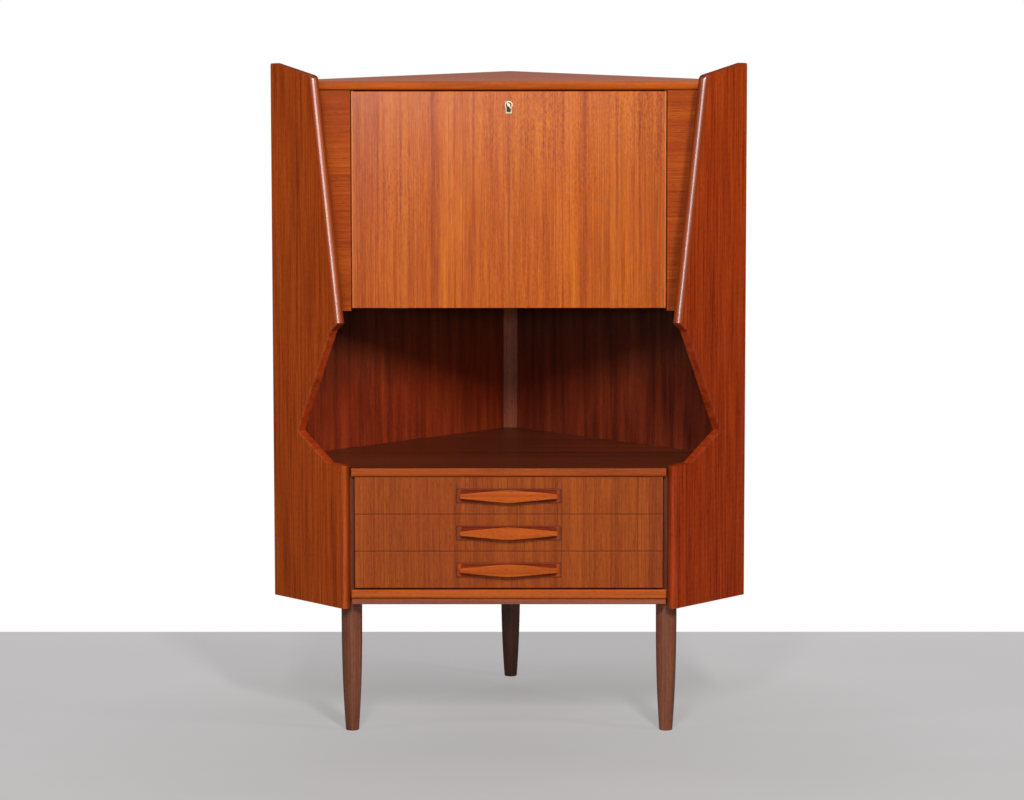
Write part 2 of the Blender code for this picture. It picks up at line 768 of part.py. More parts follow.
def make_base_rail():
    """The strip under the base's nosing."""
    front_y = NOSE_Y + RAIL_SETBACK
    low = (-NOSE_HALF, front_y, RAIL_LOW)
    high = (NOSE_HALF, front_y + RAIL_DEPTH, RAIL_LOW + RAIL_HEIGHT)
    paint(ease(box("base_rail", low, high)), TEAK_DRAWER)


def leg_places():
    """Name and plan place of each leg."""
    wing_depth = WING_THICK + FRONT_LEG_CLEAR + LEG_TOP_RADIUS
    front = meet(*across(WALL_EDGE_Y - FRONT_LEG_REACH), *wing_line(wing_depth))
    back = meet(*along(0.0), *wall_line(BACK_LEG_CLEAR + LEG_TOP_RADIUS))
    return [
        ("leg_front_left", -front.x, front.y),
        ("leg_front_right", front.x, front.y),
        ("leg_back", 0.0, back.y),
    ]


def leg_profile():
    """Half section of a leg from its spigot down: nearly straight above, swelling taper below."""
    length = BASE_LOW - GAP
    points = [
        (0.0, length + SPIGOT_LENGTH),
        (SPIGOT_RADIUS, length + SPIGOT_LENGTH),
        (SPIGOT_RADIUS, length),
        (LEG_TOP_RADIUS, length),
    ]
    taper = LEG_TOP_RADIUS - LEG_FOOT_RADIUS
    for i in range(1, LEG_PROFILE_STEPS + 1):
        share = math.sqrt(i / LEG_PROFILE_STEPS)
        height = length + (LEG_FOOT_ROUND - length) * share
        points.append((LEG_TOP_RADIUS - taper * share**LEG_SWELL, height))
    for turn in (30, 60, 90):
        angle = math.radians(turn)
        radius = LEG_FOOT_RADIUS - LEG_FOOT_ROUND * (1 - math.cos(angle))
        points.append((radius, LEG_FOOT_ROUND * (1 - math.sin(angle))))
    points.append((0.0, 0.0))
    return points


def turned(name, profile, steps):
    """A solid of revolution from a half section, listed from top to bottom."""
    mesh = bpy.data.meshes.new(name)
    shape = bmesh.new()
    verts = [shape.verts.new((x, 0.0, z)) for x, z in profile]
    for above, below in zip(verts, verts[1:]):
        shape.edges.new((above, below))
    shape.to_mesh(mesh)
    shape.free()
    obj = wrap(name, mesh)
    screw = obj.modifiers.new("turned", "SCREW")
    screw.steps = steps
    screw.render_steps = steps
    screw.use_merge_vertices = True
    screw.merge_threshold = GAP / 30
    screw.use_smooth_shade = True
    return obj


def make_legs():
    """Three turned legs with spigots into the base."""
    for name, x, y in leg_places():
        leg = turned(name, leg_profile(), LEG_STEPS)
        leg.location = (x, y, 0.0)
        paint(leg, TEAK_LEG)


def leaf_room(side, near, far, rise):
    """Corners of a standing hinge leaf's recess, between two depths from the hinge line."""
    half = LEAF_LENGTH / 2 + GAP
    middle = side * HINGE_OFFSET
    low = (middle - half, HINGE_Y + near, DOOR_LOW - OVERRUN)
    return low, (middle + half, HINGE_Y + far, DOOR_LOW + rise + GAP)


def knuckle_room(name, side, origin):
    """Round space about the hinge line for the knuckles."""
    half = LEAF_LENGTH / 2 + GAP
    middle = side * HINGE_OFFSET
    start = Vector((middle - half, HINGE_Y, DOOR_LOW)) - Vector(origin)
    end = Vector((middle + half, HINGE_Y, DOOR_LOW)) - Vector(origin)
    return rod(name, start, end, KNUCKLE_RADIUS + KNUCKLE_CLEAR, STAY_STEPS, CUTTERS)


def knuckle(name, start_x, end_x, radius):
    """A length of the hinge barrel about the local X axis."""
    return rod(name, (start_x, 0.0, 0.0), (end_x, 0.0, 0.0), radius, STAY_STEPS, CUTTERS)


def make_hinge(label, side, door_axis):
    """A butt hinge: the leaf with the pin on the bar floor's edge, the other in the door."""
    half = LEAF_LENGTH / 2
    middle_half = half * KNUCKLE_SHARE
    near = KNUCKLE_RADIUS + KNUCKLE_CLEAR
    place = Vector((side * HINGE_OFFSET, HINGE_Y, DOOR_LOW))

    back = GAP + LEAF_THICK
    floor_leaf = box("hinge_floor_leaf_" + label, (-half, GAP, 0.0), (half, back, LEAF_RISE))
    floor_leaf.location = place
    notch = box(
        "cut_leaf_notch",
        (-middle_half - GAP, -OVERRUN, -OVERRUN),
        (middle_half + GAP, back + OVERRUN, near),
        CUTTERS,
    )
    cut(floor_leaf, notch)
    for start, end in ((-half, -middle_half - GAP), (middle_half + GAP, half)):
        join(floor_leaf, knuckle("knuckle", start, end, KNUCKLE_RADIUS))
    brass(join(floor_leaf, knuckle("hinge_pin", -half + GAP, half - GAP, PIN_RADIUS)))

    door_leaf = box("hinge_door_leaf_" + label, (-half, -LEAF_THICK, 0.0), (half, 0.0, LEAF_DEPTH))
    carry(door_leaf, door_axis)
    door_leaf.location = (side * HINGE_OFFSET, 0.0, 0.0)
    for start, end in ((-half - OVERRUN, -middle_half), (middle_half, half + OVERRUN)):
        gap_box = box(
            "cut_knuckle_gap",
            (start, -LEAF_THICK - OVERRUN, -OVERRUN),
            (end, OVERRUN, near),
            CUTTERS,
        )
        cut(door_leaf, gap_box)
    join(door_leaf, knuckle("door_knuckle", -middle_half, middle_half, KNUCKLE_RADIUS))
    brass(cut(door_leaf, knuckle("cut_pin_bore", -half, half, PIN_BORE_RADIUS)))


def keyhole_outline(margin):
    """Outline of a keyhole about the key's axis: a round head over a straight slot."""
    radius = KEYHOLE_HEAD + margin
    half = KEYHOLE_SLOT_HALF + margin
    foot = KEYHOLE_FOOT + margin
    start = -math.acos(half / radius)
    sweep = math.pi - 2 * start
    points = [Vector((-half, -foot)), Vector((half, -foot))]
    for i in range(KEYHOLE_ARC_STEPS + 1):
        angle = start + sweep * i / KEYHOLE_ARC_STEPS
        points.append(Vector((radius * math.cos(angle), radius * math.sin(angle))))
    return points


# Turns a drawing in X and Y to face forward, its depth running back along Y
FACING = Matrix.Rotation(math.radians(90), 4, "X")
KEY_Z = DOOR_HEIGHT - KEY_DROP


def facing_board(name, outlines, front, back, group=CABINET):
    """A board seen from the front, between two depths, about the key's axis on the door."""
    obj = board(name, outlines, back - front, -back, group)
    obj.data.transform(Matrix.Translation((0.0, 0.0, KEY_Z)) @ FACING)
    return obj


def make_door(door_axis):
    """The drop front with its recesses, all counted from the hinge line."""
    low = (-DOOR_HALF, -FRONT_THICK, 0.0)
    door = box("door_panel", low, (DOOR_HALF, 0.0, DOOR_HEIGHT))
    carry(door, door_axis)
    ease(door)
    origin = door_axis.location
    for side in SIDES.values():
        low, high = leaf_room(side, -LEAF_THICK - GAP, OVERRUN, LEAF_DEPTH)
        leaf_cut = box("cut_door_leaf", Vector(low) - origin, Vector(high) - origin, CUTTERS)
        cut(door, leaf_cut)
        cut(door, knuckle_room("cut_door_knuckle", side, origin))
    face = -FRONT_THICK
    seat = facing_board(
        "cut_liner_seat", [keyhole_outline(GAP)], face - OVERRUN, face + KEYHOLE_DEPTH + GAP, CUTTERS
    )
    cut(door, seat)
    way = facing_board("cut_keyway", [keyhole_outline(-KEYHOLE_WALL)], face, OVERRUN, CUTTERS)
    cut(door, way)
    paint(door, TEAK_DOOR)


def make_lock(door_axis):
    """The keyhole liner in the door's face and the box lock behind it."""
    face = -FRONT_THICK
    rings = [keyhole_outline(0.0), keyhole_outline(-KEYHOLE_WALL)]
    liner = facing_board("keyhole_liner", rings, face - LINER_PROUD, face + KEYHOLE_DEPTH)
    brass(carry(liner, door_axis))

    low = (-LOCK_HALF, GAP, DOOR_HEIGHT - LOCK_HEIGHT)
    case = box("lock_case", low, (LOCK_HALF, GAP + LOCK_THICK, DOOR_HEIGHT))
    carry(case, door_axis)
    chamber = rod(
        "cut_key_chamber",
        (0.0, GAP - OVERRUN, KEY_Z),
        (0.0, GAP + LOCK_CHAMBER_DEPTH, KEY_Z),
        LOCK_CHAMBER_RADIUS,
        KEY_STEPS,
        CUTTERS,
    )
    cut(case, chamber)
    origin = door_axis.location
    bottom = DOOR_LOW + DOOR_HEIGHT - BOLT_HEIGHT - BOLT_SINK - GAP
    low, high = bolt_room(bottom, DOOR_LOW + DOOR_HEIGHT + OVERRUN)
    cut(case, box("cut_bolt_channel", Vector(low) - origin, Vector(high) - origin, CUTTERS))
    brass(case)


def make_bolt(door_axis):
    """The bolt, flush with the door's top edge while unlocked."""
    place = (0.0, GAP + LOCK_THICK / 2, DOOR_HEIGHT)
    bolt_axis = axis_empty("bolt_slide", place, door_axis)
    half_depth = BOLT_THICK / 2
    low = (-BOLT_HALF, -half_depth, -BOLT_HEIGHT)
    brass(carry(box("lock_bolt", low, (BOLT_HALF, half_depth, 0.0)), bolt_axis))


def ellipse(half_x, half_y, middle_y, steps):
    """Points round an ellipse."""
    turn = 2 * math.pi / steps
    return [
        Vector((half_x * math.cos(turn * i), middle_y + half_y * math.sin(turn * i)))
        for i in range(steps)
    ]


def make_key(door_axis):
    """The key: an oval bow, its shaft and the bit in the lock's chamber."""
    key_axis = axis_empty("key_turn", (0.0, 0.0, KEY_Z), door_axis)
    key_axis.rotation_euler = (0.0, -KEY_TURN, 0.0)
    face = -FRONT_THICK - LINER_PROUD
    bow_y = face - KEY_STAND_OFF - KEY_BOW_HALF_DEPTH
    hole_half = KEY_BOW_HALF_WIDTH - KEY_BOW_RIM
    hole_depth = KEY_BOW_HALF_DEPTH - KEY_BOW_RIM
    rings = [
        ellipse(KEY_BOW_HALF_WIDTH, KEY_BOW_HALF_DEPTH, bow_y, KEY_STEPS),
        ellipse(hole_half, hole_depth, bow_y, KEY_STEPS),
    ]
    key = board("key", rings, KEY_BOW_THICK, -KEY_BOW_THICK / 2)
    key.data.transform(Matrix.Rotation(math.radians(90), 4, "Y"))
    carry(key, key_axis)
    chamber_end = GAP + LOCK_CHAMBER_DEPTH - GAP - GAP
    shaft_start = bow_y + hole_depth + KEY_BOW_RIM / 2
    shaft = rod("key_shaft", (0, shaft_start, 0), (0, chamber_end, 0), KEY_SHAFT_RADIUS, 12, CUTTERS)
    join(key, shaft)
    half = KEY_BIT_THICK / 2
    bit = box(
        "key_bit",
        (-half, chamber_end - KEY_BIT_DEPTH, -KEY_BIT_REACH),
        (half, chamber_end - GAP, 0.0),
        CUTTERS,
    )
    join(key, bit)
    brass(key)


def stay_angles():
    """Angles behind the upright, about the hinge line, of the rod's pivot and the guide's."""
    rod_angle = math.asin(STAY_LIFT / STAY_RADIUS)
    spread = 2 * math.asin(STAY_CLOSED / 2 / STAY_RADIUS)
    return rod_angle, rod_angle + spread


def stay_point(angle):
    """A point on the stay's circle about the hinge line, as depth and height from it."""
    return Vector((STAY_RADIUS * math.sin(angle), STAY_RADIUS * math.cos(angle)))


def stay_guide_place():
    """Depth and height of the guide's pivot in the cabinet."""
    point = stay_point(stay_angles()[1])
    return HINGE_Y + point.x, DOOR_LOW + point.y


def stay_x():
    """Distance of the rod's axis from the middle plane."""
    return BAR_SIDE_X - STAY_SIDE_CLEAR


def stay_tilt():
    """How far the closed rod slopes down towards the back."""
    rod_angle, guide_angle = stay_angles()
    return -(rod_angle + guide_angle) / 2


def stay_length():
    """Rod from its pivot to its stop: enough for the open door and a short tail."""
    rod_angle, guide_angle = stay_angles()
    open_spread = math.radians(90) + guide_angle - rod_angle
    return 2 * STAY_RADIUS * math.sin(open_spread / 2) + STAY_BLOCK / 2 + STAY_ROD_TAIL


def make_stay(door_axis):
    """A brass rod from the door that slides through a turning guide on the bar side.

    Rod pivot and guide pivot lie equally far from the hinge line, so the rod turns by half
    the door's angle and always points through the guide.
    """
    rod_angle, guide_angle = stay_angles()
    eye = stay_point(rod_angle)
    rod_axis = axis_empty("stay_rod_turn", (stay_x(), eye.x, eye.y), door_axis)
    rod_axis.rotation_euler = (stay_tilt(), 0.0, 0.0)
    half_eye = STAY_EYE_THICK / 2
    stay = rod("stay_rod", (-half_eye, 0, 0), (half_eye, 0, 0), STAY_EYE_RADIUS, STAY_STEPS)
    carry(stay, rod_axis)
    length = stay_length()
    start = STAY_PIN_RADIUS + STAY_PIN_CLEAR + GAP
    shank = rod("stay_shank", (0, start, 0), (0, length, 0), STAY_ROD_RADIUS, STAY_STEPS, CUTTERS)
    join(stay, shank)
    stop_start = (0, length - STAY_STOP_LENGTH, 0)
    stop = rod("stay_stop", stop_start, (0, length + GAP, 0), STAY_STOP_RADIUS, STAY_STEPS, CUTTERS)
    join(stay, stop)
    hole_radius = STAY_PIN_RADIUS + STAY_PIN_CLEAR
    reach = STAY_EYE_THICK
    hole = rod("cut_stay_eye", (-reach, 0, 0), (reach, 0, 0), hole_radius, STAY_STEPS, CUTTERS)
    brass(cut(stay, hole))
    make_stay_guide()
    make_stay_bracket(door_axis, eye)


def make_stay_guide():
    """The guide's block, bored for the rod, with its pivot in the bar side."""
    y, z = stay_guide_place()
    guide_axis = axis_empty("stay_guide_turn", (stay_x(), y, z))
    guide_axis.rotation_euler = (stay_tilt(), 0.0, 0.0)
    half = STAY_BLOCK / 2
    guide = ease(box("stay_guide", (-half, -half, -half), (half, half, half)))
    carry(guide, guide_axis)
    pivot_end = STAY_SIDE_CLEAR + STAY_PIVOT_SINK
    start = (half - GAP, 0, 0)
    pivot = rod("guide_pivot", start, (pivot_end, 0, 0), STAY_PIVOT_RADIUS, STAY_STEPS, CUTTERS)
    join(guide, pivot)
    radius = STAY_ROD_RADIUS + STAY_BORE_CLEAR
    reach = half + OVERRUN
    bore = rod("cut_guide_bore", (0, -reach, 0), (0, reach, 0), radius, STAY_STEPS, CUTTERS)
    brass(cut(guide, bore))


def make_stay_bracket(door_axis, eye):
    """The plate on the door with an ear and the pin through the rod's eye."""
    x = stay_x()
    thick = STAY_PLATE_THICK
    ear_x = -STAY_EYE_THICK / 2 - GAP - GAP - thick
    low = (ear_x - STAY_PLATE_HALF, GAP, eye.y - STAY_PLATE_HEIGHT / 2)
    plate = box("stay_bracket", low, (ear_x + thick, GAP + thick, eye.y + STAY_PLATE_HEIGHT / 2))
    carry(plate, door_axis)
    plate.location.x = x
    ear_half = STAY_EYE_RADIUS
    ear_low = (ear_x, GAP + thick / 2, eye.y - ear_half)
    ear = box("bracket_ear", ear_low, (ear_x + thick, eye.x + ear_half, eye.y + ear_half), CUTTERS)
    join(plate, ear)
    start = (ear_x + thick / 2, eye.x, eye.y)
    end = (STAY_EYE_THICK / 2 + thick, eye.x, eye.y)
    pin = rod("bracket_pin", start, end, STAY_PIN_RADIUS, STAY_STEPS, CUTTERS)
    brass(join(plate, pin))


def pull_half_height(share, height):
    """Half height of the pull at a share of its half length: straight flanks, rounded crest."""
    crest = PULL_CREST_SHARE
    fall = (math.hypot(share, crest) - crest) / (math.hypot(1.0, crest) - crest)
    return (height - (height - PULL_END_HEIGHT) * fall) / 2


def make_pull(name, slide_axis, middle_z):
    """A long lozenge undercut for the fingers, in a field sunk into its plate."""
    shares = [2 * i / PULL_STEPS - 1 for i in range(PULL_STEPS + 1)]
    upper = [Vector((PULL_HALF * s, pull_half_height(abs(s), PULL_HEIGHT))) for s in shares]
    outline = [Vector((p.x, -p.y)) for p in upper] + list(reversed(upper))
    root = PULL_FIELD_DEPTH + GAP
    pull = board(name, [outline], PULL_PROUD + GAP + root, -root)
    for vertex in pull.data.vertices:
        if vertex.co.z < PULL_PROUD / 2:
            vertex.co.y *= PULL_NECK_SHARE
    ease(pull, PULL_ROUND)
    pull.data.transform(FACING)
    back = -PULL_PLATE_THICK
    carry(pull, slide_axis)
    pull.location = (0.0, back, middle_z)
    half = PULL_PLATE_HEIGHT / 2
    high = (PULL_PLATE_HALF, PULL_PLATE_THICK - GAP, half)
    plate = box("pull_plate", (-PULL_PLATE_HALF, 0.0, -half), high, CUTTERS)
    ease(plate)
    paint(join(pull, plate), TEAK_DRAWER)
    field_half = half - PULL_RIM
    field_low = (-PULL_FIELD_HALF, -OVERRUN, -field_half)
    field_high = (PULL_FIELD_HALF, PULL_FIELD_DEPTH, field_half)
    cut(plate, box("cut_pull_field", field_low, field_high, CUTTERS))


def groove_runners(side_board, side):
    """Mill the runner's groove along a drawer side's outer face."""
    inner = DRAWER_BOX_HALF - RUNNER_PROUD + DRAWER_BOX_GAP - RUNNER_CLEAR
    xs = sorted((side * inner, side * (DRAWER_BOX_HALF + OVERRUN)))
    low_z = RUNNER_RISE - RUNNER_CLEAR
    high_z = RUNNER_RISE + RUNNER_HEIGHT + RUNNER_CLEAR
    start = DRAWER_FRONT_THICK + RUNNER_SETBACK - RUNNER_CLEAR
    groove = box(
        "cut_runner_groove", (xs[0], start, low_z), (xs[1], DRAWER_DEPTH + OVERRUN, high_z), CUTTERS
    )
    cut(side_board, groove)


def make_drawer(number):
    """A drawer: front, sides, back and a bottom held in grooves, with its pull."""
    name = f"drawer_{number}"
    slide_axis = axis_empty(name + "_slide", (0.0, DRAWER_Y, drawer_level(number)))
    high = DRAWER_FRONT_HEIGHT
    behind = DRAWER_FRONT_THICK + GAP
    inner = DRAWER_BOX_HALF - DRAWER_SIDE_THICK
    side_top = high - DRAWER_SIDE_DROP
    bottom_low = DRAWER_BOTTOM_RISE
    bottom_top = bottom_low + DRAWER_BOTTOM_THICK
    housing = inner + DRAWER_BOTTOM_HOUSING
    bottom_front = DRAWER_FRONT_THICK - DRAWER_BOTTOM_HOUSING

    groove = box(
        "cut_bottom_groove",
        (-housing - GAP, bottom_front - GAP, bottom_low - GAP),
        (housing + GAP, DRAWER_DEPTH + OVERRUN, bottom_top + GAP),
        CUTTERS,
    )
    front_low = (-DRAWER_FRONT_HALF, 0.0, 0.0)
    front = box(name + "_front", front_low, (DRAWER_FRONT_HALF, DRAWER_FRONT_THICK, high))
    carry(front, slide_axis)
    ease(front, DRAWER_FRONT_ROUND, 2)
    paint(cut(front, groove), TEAK_DRAWER)

    for label, side in SIDES.items():
        xs = sorted((side * inner, side * DRAWER_BOX_HALF))
        corner = (xs[1], DRAWER_DEPTH, side_top)
        side_board = box(f"{name}_side_{label}", (xs[0], behind, DRAWER_SIDE_RISE), corner)
        carry(side_board, slide_axis)
        groove_runners(side_board, side)
        paint(cut(side_board, groove), DRAWER_MAPLE, RAW_ROUGHNESS)

    back_low = (-inner + GAP, DRAWER_DEPTH - DRAWER_BACK_THICK, bottom_top + GAP)
    back = box(name + "_back", back_low, (inner - GAP, DRAWER_DEPTH, side_top - DRAWER_BACK_DROP))
    paint(carry(back, slide_axis), DRAWER_MAPLE, RAW_ROUGHNESS)

    bottom = box(
        name + "_bottom",
        (-housing, bottom_front, bottom_low),
        (housing, DRAWER_DEPTH, bottom_top),
    )
    paint(carry(bottom, slide_axis), BACK_PLY, RAW_ROUGHNESS)
    make_pull(name + "_pull", slide_axis, high / 2)


def make_cabinet():
    """Every piece, from the carcass to the moving fittings."""
    for name, side in SIDES.items():
        make_wing("wing_" + name, side)
    make_top()
    make_base()
    make_shelves()
    make_backs()
    make_stiles()
    make_bar_sides()
    make_case_sides()
    make_base_rail()
    make_legs()
    door_axis = axis_empty("door_drop", (0.0, HINGE_Y, DOOR_LOW))
    make_door(door_axis)
    for label, side in SIDES.items():
        make_hinge(label, side, door_axis)
    make_lock(door_axis)
    make_bolt(door_axis)
    make_key(door_axis)
    make_stay(door_axis)
    for number in range(1, DRAWER_COUNT + 1):
        make_drawer(number)


make_cabinet()
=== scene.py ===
"""Looks of a corner bar cabinet in oiled teak with a drop front and three drawers.

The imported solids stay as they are. The turned legs, the solid lips round the wings, the
carved pulls, the key and its liner are drawn again here with finer surfaces.
"""

import math

import bpy
import numpy as np
from mathutils import Matrix, Vector


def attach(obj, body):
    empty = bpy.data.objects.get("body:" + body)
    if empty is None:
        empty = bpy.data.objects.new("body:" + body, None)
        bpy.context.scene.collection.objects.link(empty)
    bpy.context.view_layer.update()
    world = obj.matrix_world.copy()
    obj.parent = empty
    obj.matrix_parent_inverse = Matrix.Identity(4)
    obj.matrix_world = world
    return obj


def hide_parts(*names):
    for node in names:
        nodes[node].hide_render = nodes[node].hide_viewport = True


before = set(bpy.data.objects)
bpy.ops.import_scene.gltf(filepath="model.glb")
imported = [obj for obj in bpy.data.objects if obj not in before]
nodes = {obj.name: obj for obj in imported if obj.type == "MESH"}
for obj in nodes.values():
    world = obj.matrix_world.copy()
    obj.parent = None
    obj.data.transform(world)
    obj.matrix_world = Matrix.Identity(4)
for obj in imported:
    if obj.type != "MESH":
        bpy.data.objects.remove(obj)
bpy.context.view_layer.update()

# Measures of the cabinet, in metres
HALF_WIDTH = 0.500
WALL_EDGE_Y = -0.15385
WING_TURN = math.radians(49)
WING_THICK = 0.020
LEG_CLEAR = 0.266
SHELF_TOP = 0.563
FLOOR_LOW = 0.8837
TOP_TOP = 1.3587
FRONT_HALF = 0.33

# Gap between neighbouring pieces and radius at a closed pole
HAIR = 0.0003
POLE = 0.0004

# Wing outline as reach from the wall edge and height above the floor
WING_OUTLINE = np.array(
    [
        (0.0, LEG_CLEAR),
        (0.2387, LEG_CLEAR),
        (0.2387, SHELF_TOP + 0.0047),
        (0.184, SHELF_TOP + 0.0047),
        (0.0845, SHELF_TOP + 0.0637),
        (0.197, FLOOR_LOW - 0.0365),
        (0.2223, FLOOR_LOW - 0.019),
        (0.140, TOP_TOP + 0.0138),
        (0.0, TOP_TOP + 0.0385),
    ]
)

# Widths of the lips and radii of their arrises
FRONT_LIP = 0.012
FRONT_ROUND = 0.006
FRONT_NOSE = 0.0098
NICHE_LIP = 0.007
NICHE_ROUND = 0.0012
LIP_STATIONS = 40

# Edge of the outline, name of its lip and the lip's width
WING_LIPS = (
    (1, "foot_lip", FRONT_LIP),
    (3, "waist_lip", NICHE_LIP),
    (4, "niche_lip", NICHE_LIP),
    (5, "chin_lip", NICHE_LIP),
    (6, "front_lip", FRONT_LIP),
)

# Turned legs
LEG_LENGTH = 0.2873
LEG_TOP_RADIUS = 0.0219
LEG_FOOT_RADIUS = 0.0139
LEG_SWELL = 2.7
LEG_FOOT_ROUND = 0.0022
LEG_ARRIS = 0.0008
SPIGOT_RADIUS = 0.0065
SPIGOT_LENGTH = 0.015
LEG_PLACES = {
    "leg_front_left": (-0.33015, -0.28385),
    "leg_front_right": (0.33015, -0.28385),
    "leg_back": (0.0, 0.306128),
}

# Drawer fronts and their pulls
DRAWER_Y = -0.33185
DRAWER_MIDDLES = (0.5054333, 0.4273, 0.3491667)
PLATE_HALF = 0.1095
PLATE_HEIGHT = 0.0298
PLATE_THICK = 0.0025
PLATE_ARRIS = 0.0008
PLATE_CORNER = 0.0014
# Measure for the painted shadow line at the plate's outer edge
PLATE_SHADOW_LINE = 0.0024
FIELD_HALF = 0.0992
FIELD_DEPTH = 0.0016
FIELD_CORNER = 0.0035
RIM = 0.003
PULL_HALF = 0.1012
PULL_HEIGHT = 0.0268
PULL_END_HEIGHT = 0.0092
PULL_PROUD = 0.0115
PULL_NECK = 0.60
PULL_CREST = 0.12
PULL_ARRIS = 0.0011

# Drop front, keyhole and key
DOOR_FACE = -0.18385
HINGE_Y = -0.16485
KEY_HEIGHT = 1.3096
KEY_TURN = math.radians(37)
KEYHOLE_HEAD = 0.0084
KEYHOLE_SLOT_HALF = 0.0068
KEYHOLE_FOOT = 0.0178
KEYHOLE_WALL = 0.0026
LINER_PROUD = 0.0006
LINER_DEPTH = 0.008
BOW_Y = -0.19995
BOW_HALF = 0.0118
BOW_HALF_DEPTH = 0.0085
BOW_RIM = 0.0034
BOW_THICK = 0.0028
SHAFT_RADIUS = 0.0022
SHAFT_REACH = 0.0062
BIT_BACK = 0.0026
BIT_DROP = 0.0036
BIT_WIDTH = 0.0044
BIT_HEIGHT = 0.0052

# Limits of the finishes: fronts of nosings, their undersides below which a painted highlight goes,
# the drawer cases' edges in painted shade, the plates' rims over their painted-shade fields, the
# door's edges and faces of boards
TOP_NOSING_Y = -0.1765
TOP_NOSING_LOW = 1.3452
SHELF_NOSING_Y = -0.3285
SHELF_NOSING_LOW = 0.5492
CASE_EDGE_SHADE_Y = -0.3230
PLATE_FIELD_Y = -0.3336
DOOR_EDGE_X = 0.3272
BACK_FACE = 0.2348
NICHE_CEILING = 0.89


# Node sheets


class Wire:
    """A socket of a finish. Arithmetic on wires adds the Math nodes."""

    def __init__(self, finish, socket):
        self.finish = finish
        self.socket = socket

    def reckon(self, operation, *values, clamp=False):
        """One Math node on the given values."""
        settings = {"operation": operation, "use_clamp": clamp}
        return self.finish.add("ShaderNodeMath", settings, dict(enumerate(values)))

    def __add__(self, other):
        return self.reckon("ADD", self, other)

    def __radd__(self, other):
        return self.reckon("ADD", other, self)

    def __sub__(self, other):
        return self.reckon("SUBTRACT", self, other)

    def __rsub__(self, other):
        return self.reckon("SUBTRACT", other, self)

    def __mul__(self, other):
        return self.reckon("MULTIPLY", self, other)

    def __rmul__(self, other):
        return self.reckon("MULTIPLY", other, self)

    def __truediv__(self, other):
        return self.reckon("DIVIDE", self, other)

    def __abs__(self):
        return self.reckon("ABSOLUTE", self)

    def above(self, level, spread):
        """Nought below the level, one above it, with a soft step of the given spread."""
        return self.reckon("MULTIPLY_ADD", self - level, 1.0 / spread, 0.5, clamp=True)


class Finish:
    """The node sheet of a material, or of the world."""

    def __init__(self, owner):
        self.owner = owner
        owner.use_nodes = True
        self.tree = owner.node_tree
        self.tree.nodes.clear()

    def add(self, kind, settings=None, values=None, out=0):
        """One node: its settings first, then its sockets' values or links."""
        node = self.tree.nodes.new(kind)
        for key, value in (settings or {}).items():
            if key == "stops":
                ramp = node.color_ramp
                while len(ramp.elements) < len(value):
                    ramp.elements.new(0.5)
                for element, (place, colour) in zip(ramp.elements, value):
                    parts = colour if isinstance(colour, tuple) else (colour,) * 3
                    element.position = place
                    element.color = (*parts, 1.0)
            else:
                setattr(node, key, value)
        for key, value in (values or {}).items():
            if isinstance(value, Wire):
                self.tree.links.new(value.socket, node.inputs[key])
            else:
                node.inputs[key].default_value = value
        return Wire(self, node.outputs[out]) if node.outputs else None

    def parts(self, vector):
        """The three components of a vector."""
        first = self.add("ShaderNodeSeparateXYZ", {}, {0: vector})
        return [Wire(self, socket) for socket in first.socket.node.outputs]

    def noise(self, x, y, z, detail=2.0, rough=0.5):
        """Noise at a stretched place, between nought and one."""
        place = self.add("ShaderNodeCombineXYZ", {}, {0: x, 1: y, 2: z})
        values = {"Vector": place, "Scale": 1.0, "Detail": detail, "Roughness": rough}
        return self.add("ShaderNodeTexNoise", {"noise_dimensions": "3D"}, values)

    def ramp(self, factor, stops):
        """A colour or a grey read off a ramp."""
        return self.add("ShaderNodeValToRGB", {"stops": stops}, {"Fac": factor})

    def mix(self, factor, first, second, blend="MIX"):
        """Two colours mixed by a factor."""
        settings = {"data_type": "RGBA", "blend_type": blend}
        first, second = [
            colour if isinstance(colour, Wire) else (*colour, 1.0) for colour in (first, second)
        ]
        return self.add("ShaderNodeMix", settings, {0: factor, 6: first, 7: second}, out=2)

    def principled(self, colour, rough, height, bump, distance, **fixed):
        """Principled shader with a bump from a height."""
        normal = self.add(
            "ShaderNodeBump", {}, {"Height": height, "Strength": bump, "Distance": distance}
        )
        values = {"Base Color": colour, "Roughness": rough, "Normal": normal}
        values.update({key.replace("_", " "): value for key, value in fixed.items()})
        return self.add("ShaderNodeBsdfPrincipled", {}, values)

    def close(self, shader, kind="ShaderNodeOutputMaterial"):
        """The output at the end of the sheet, and the finished material or world."""
        self.add(kind, {}, {0: shader})
        return self.owner


def place_of(finish, centre=(0.0, 0.0, 0.0), turn=0.0, source="object"):
    """Object coordinates turned about Z and moved to a centre, or the piece's own grain places."""
    if source == "grain":
        return finish.add("ShaderNodeAttribute", {"attribute_name": "grain"}, {}, out=1)
    place = finish.add("ShaderNodeTexCoord", {}, {}, out=3)
    values = {"Location": centre, "Rotation": (0.0, 0.0, turn)}
    return finish.add("ShaderNodeMapping", {"vector_type": "POINT"}, {"Vector": place, **values})


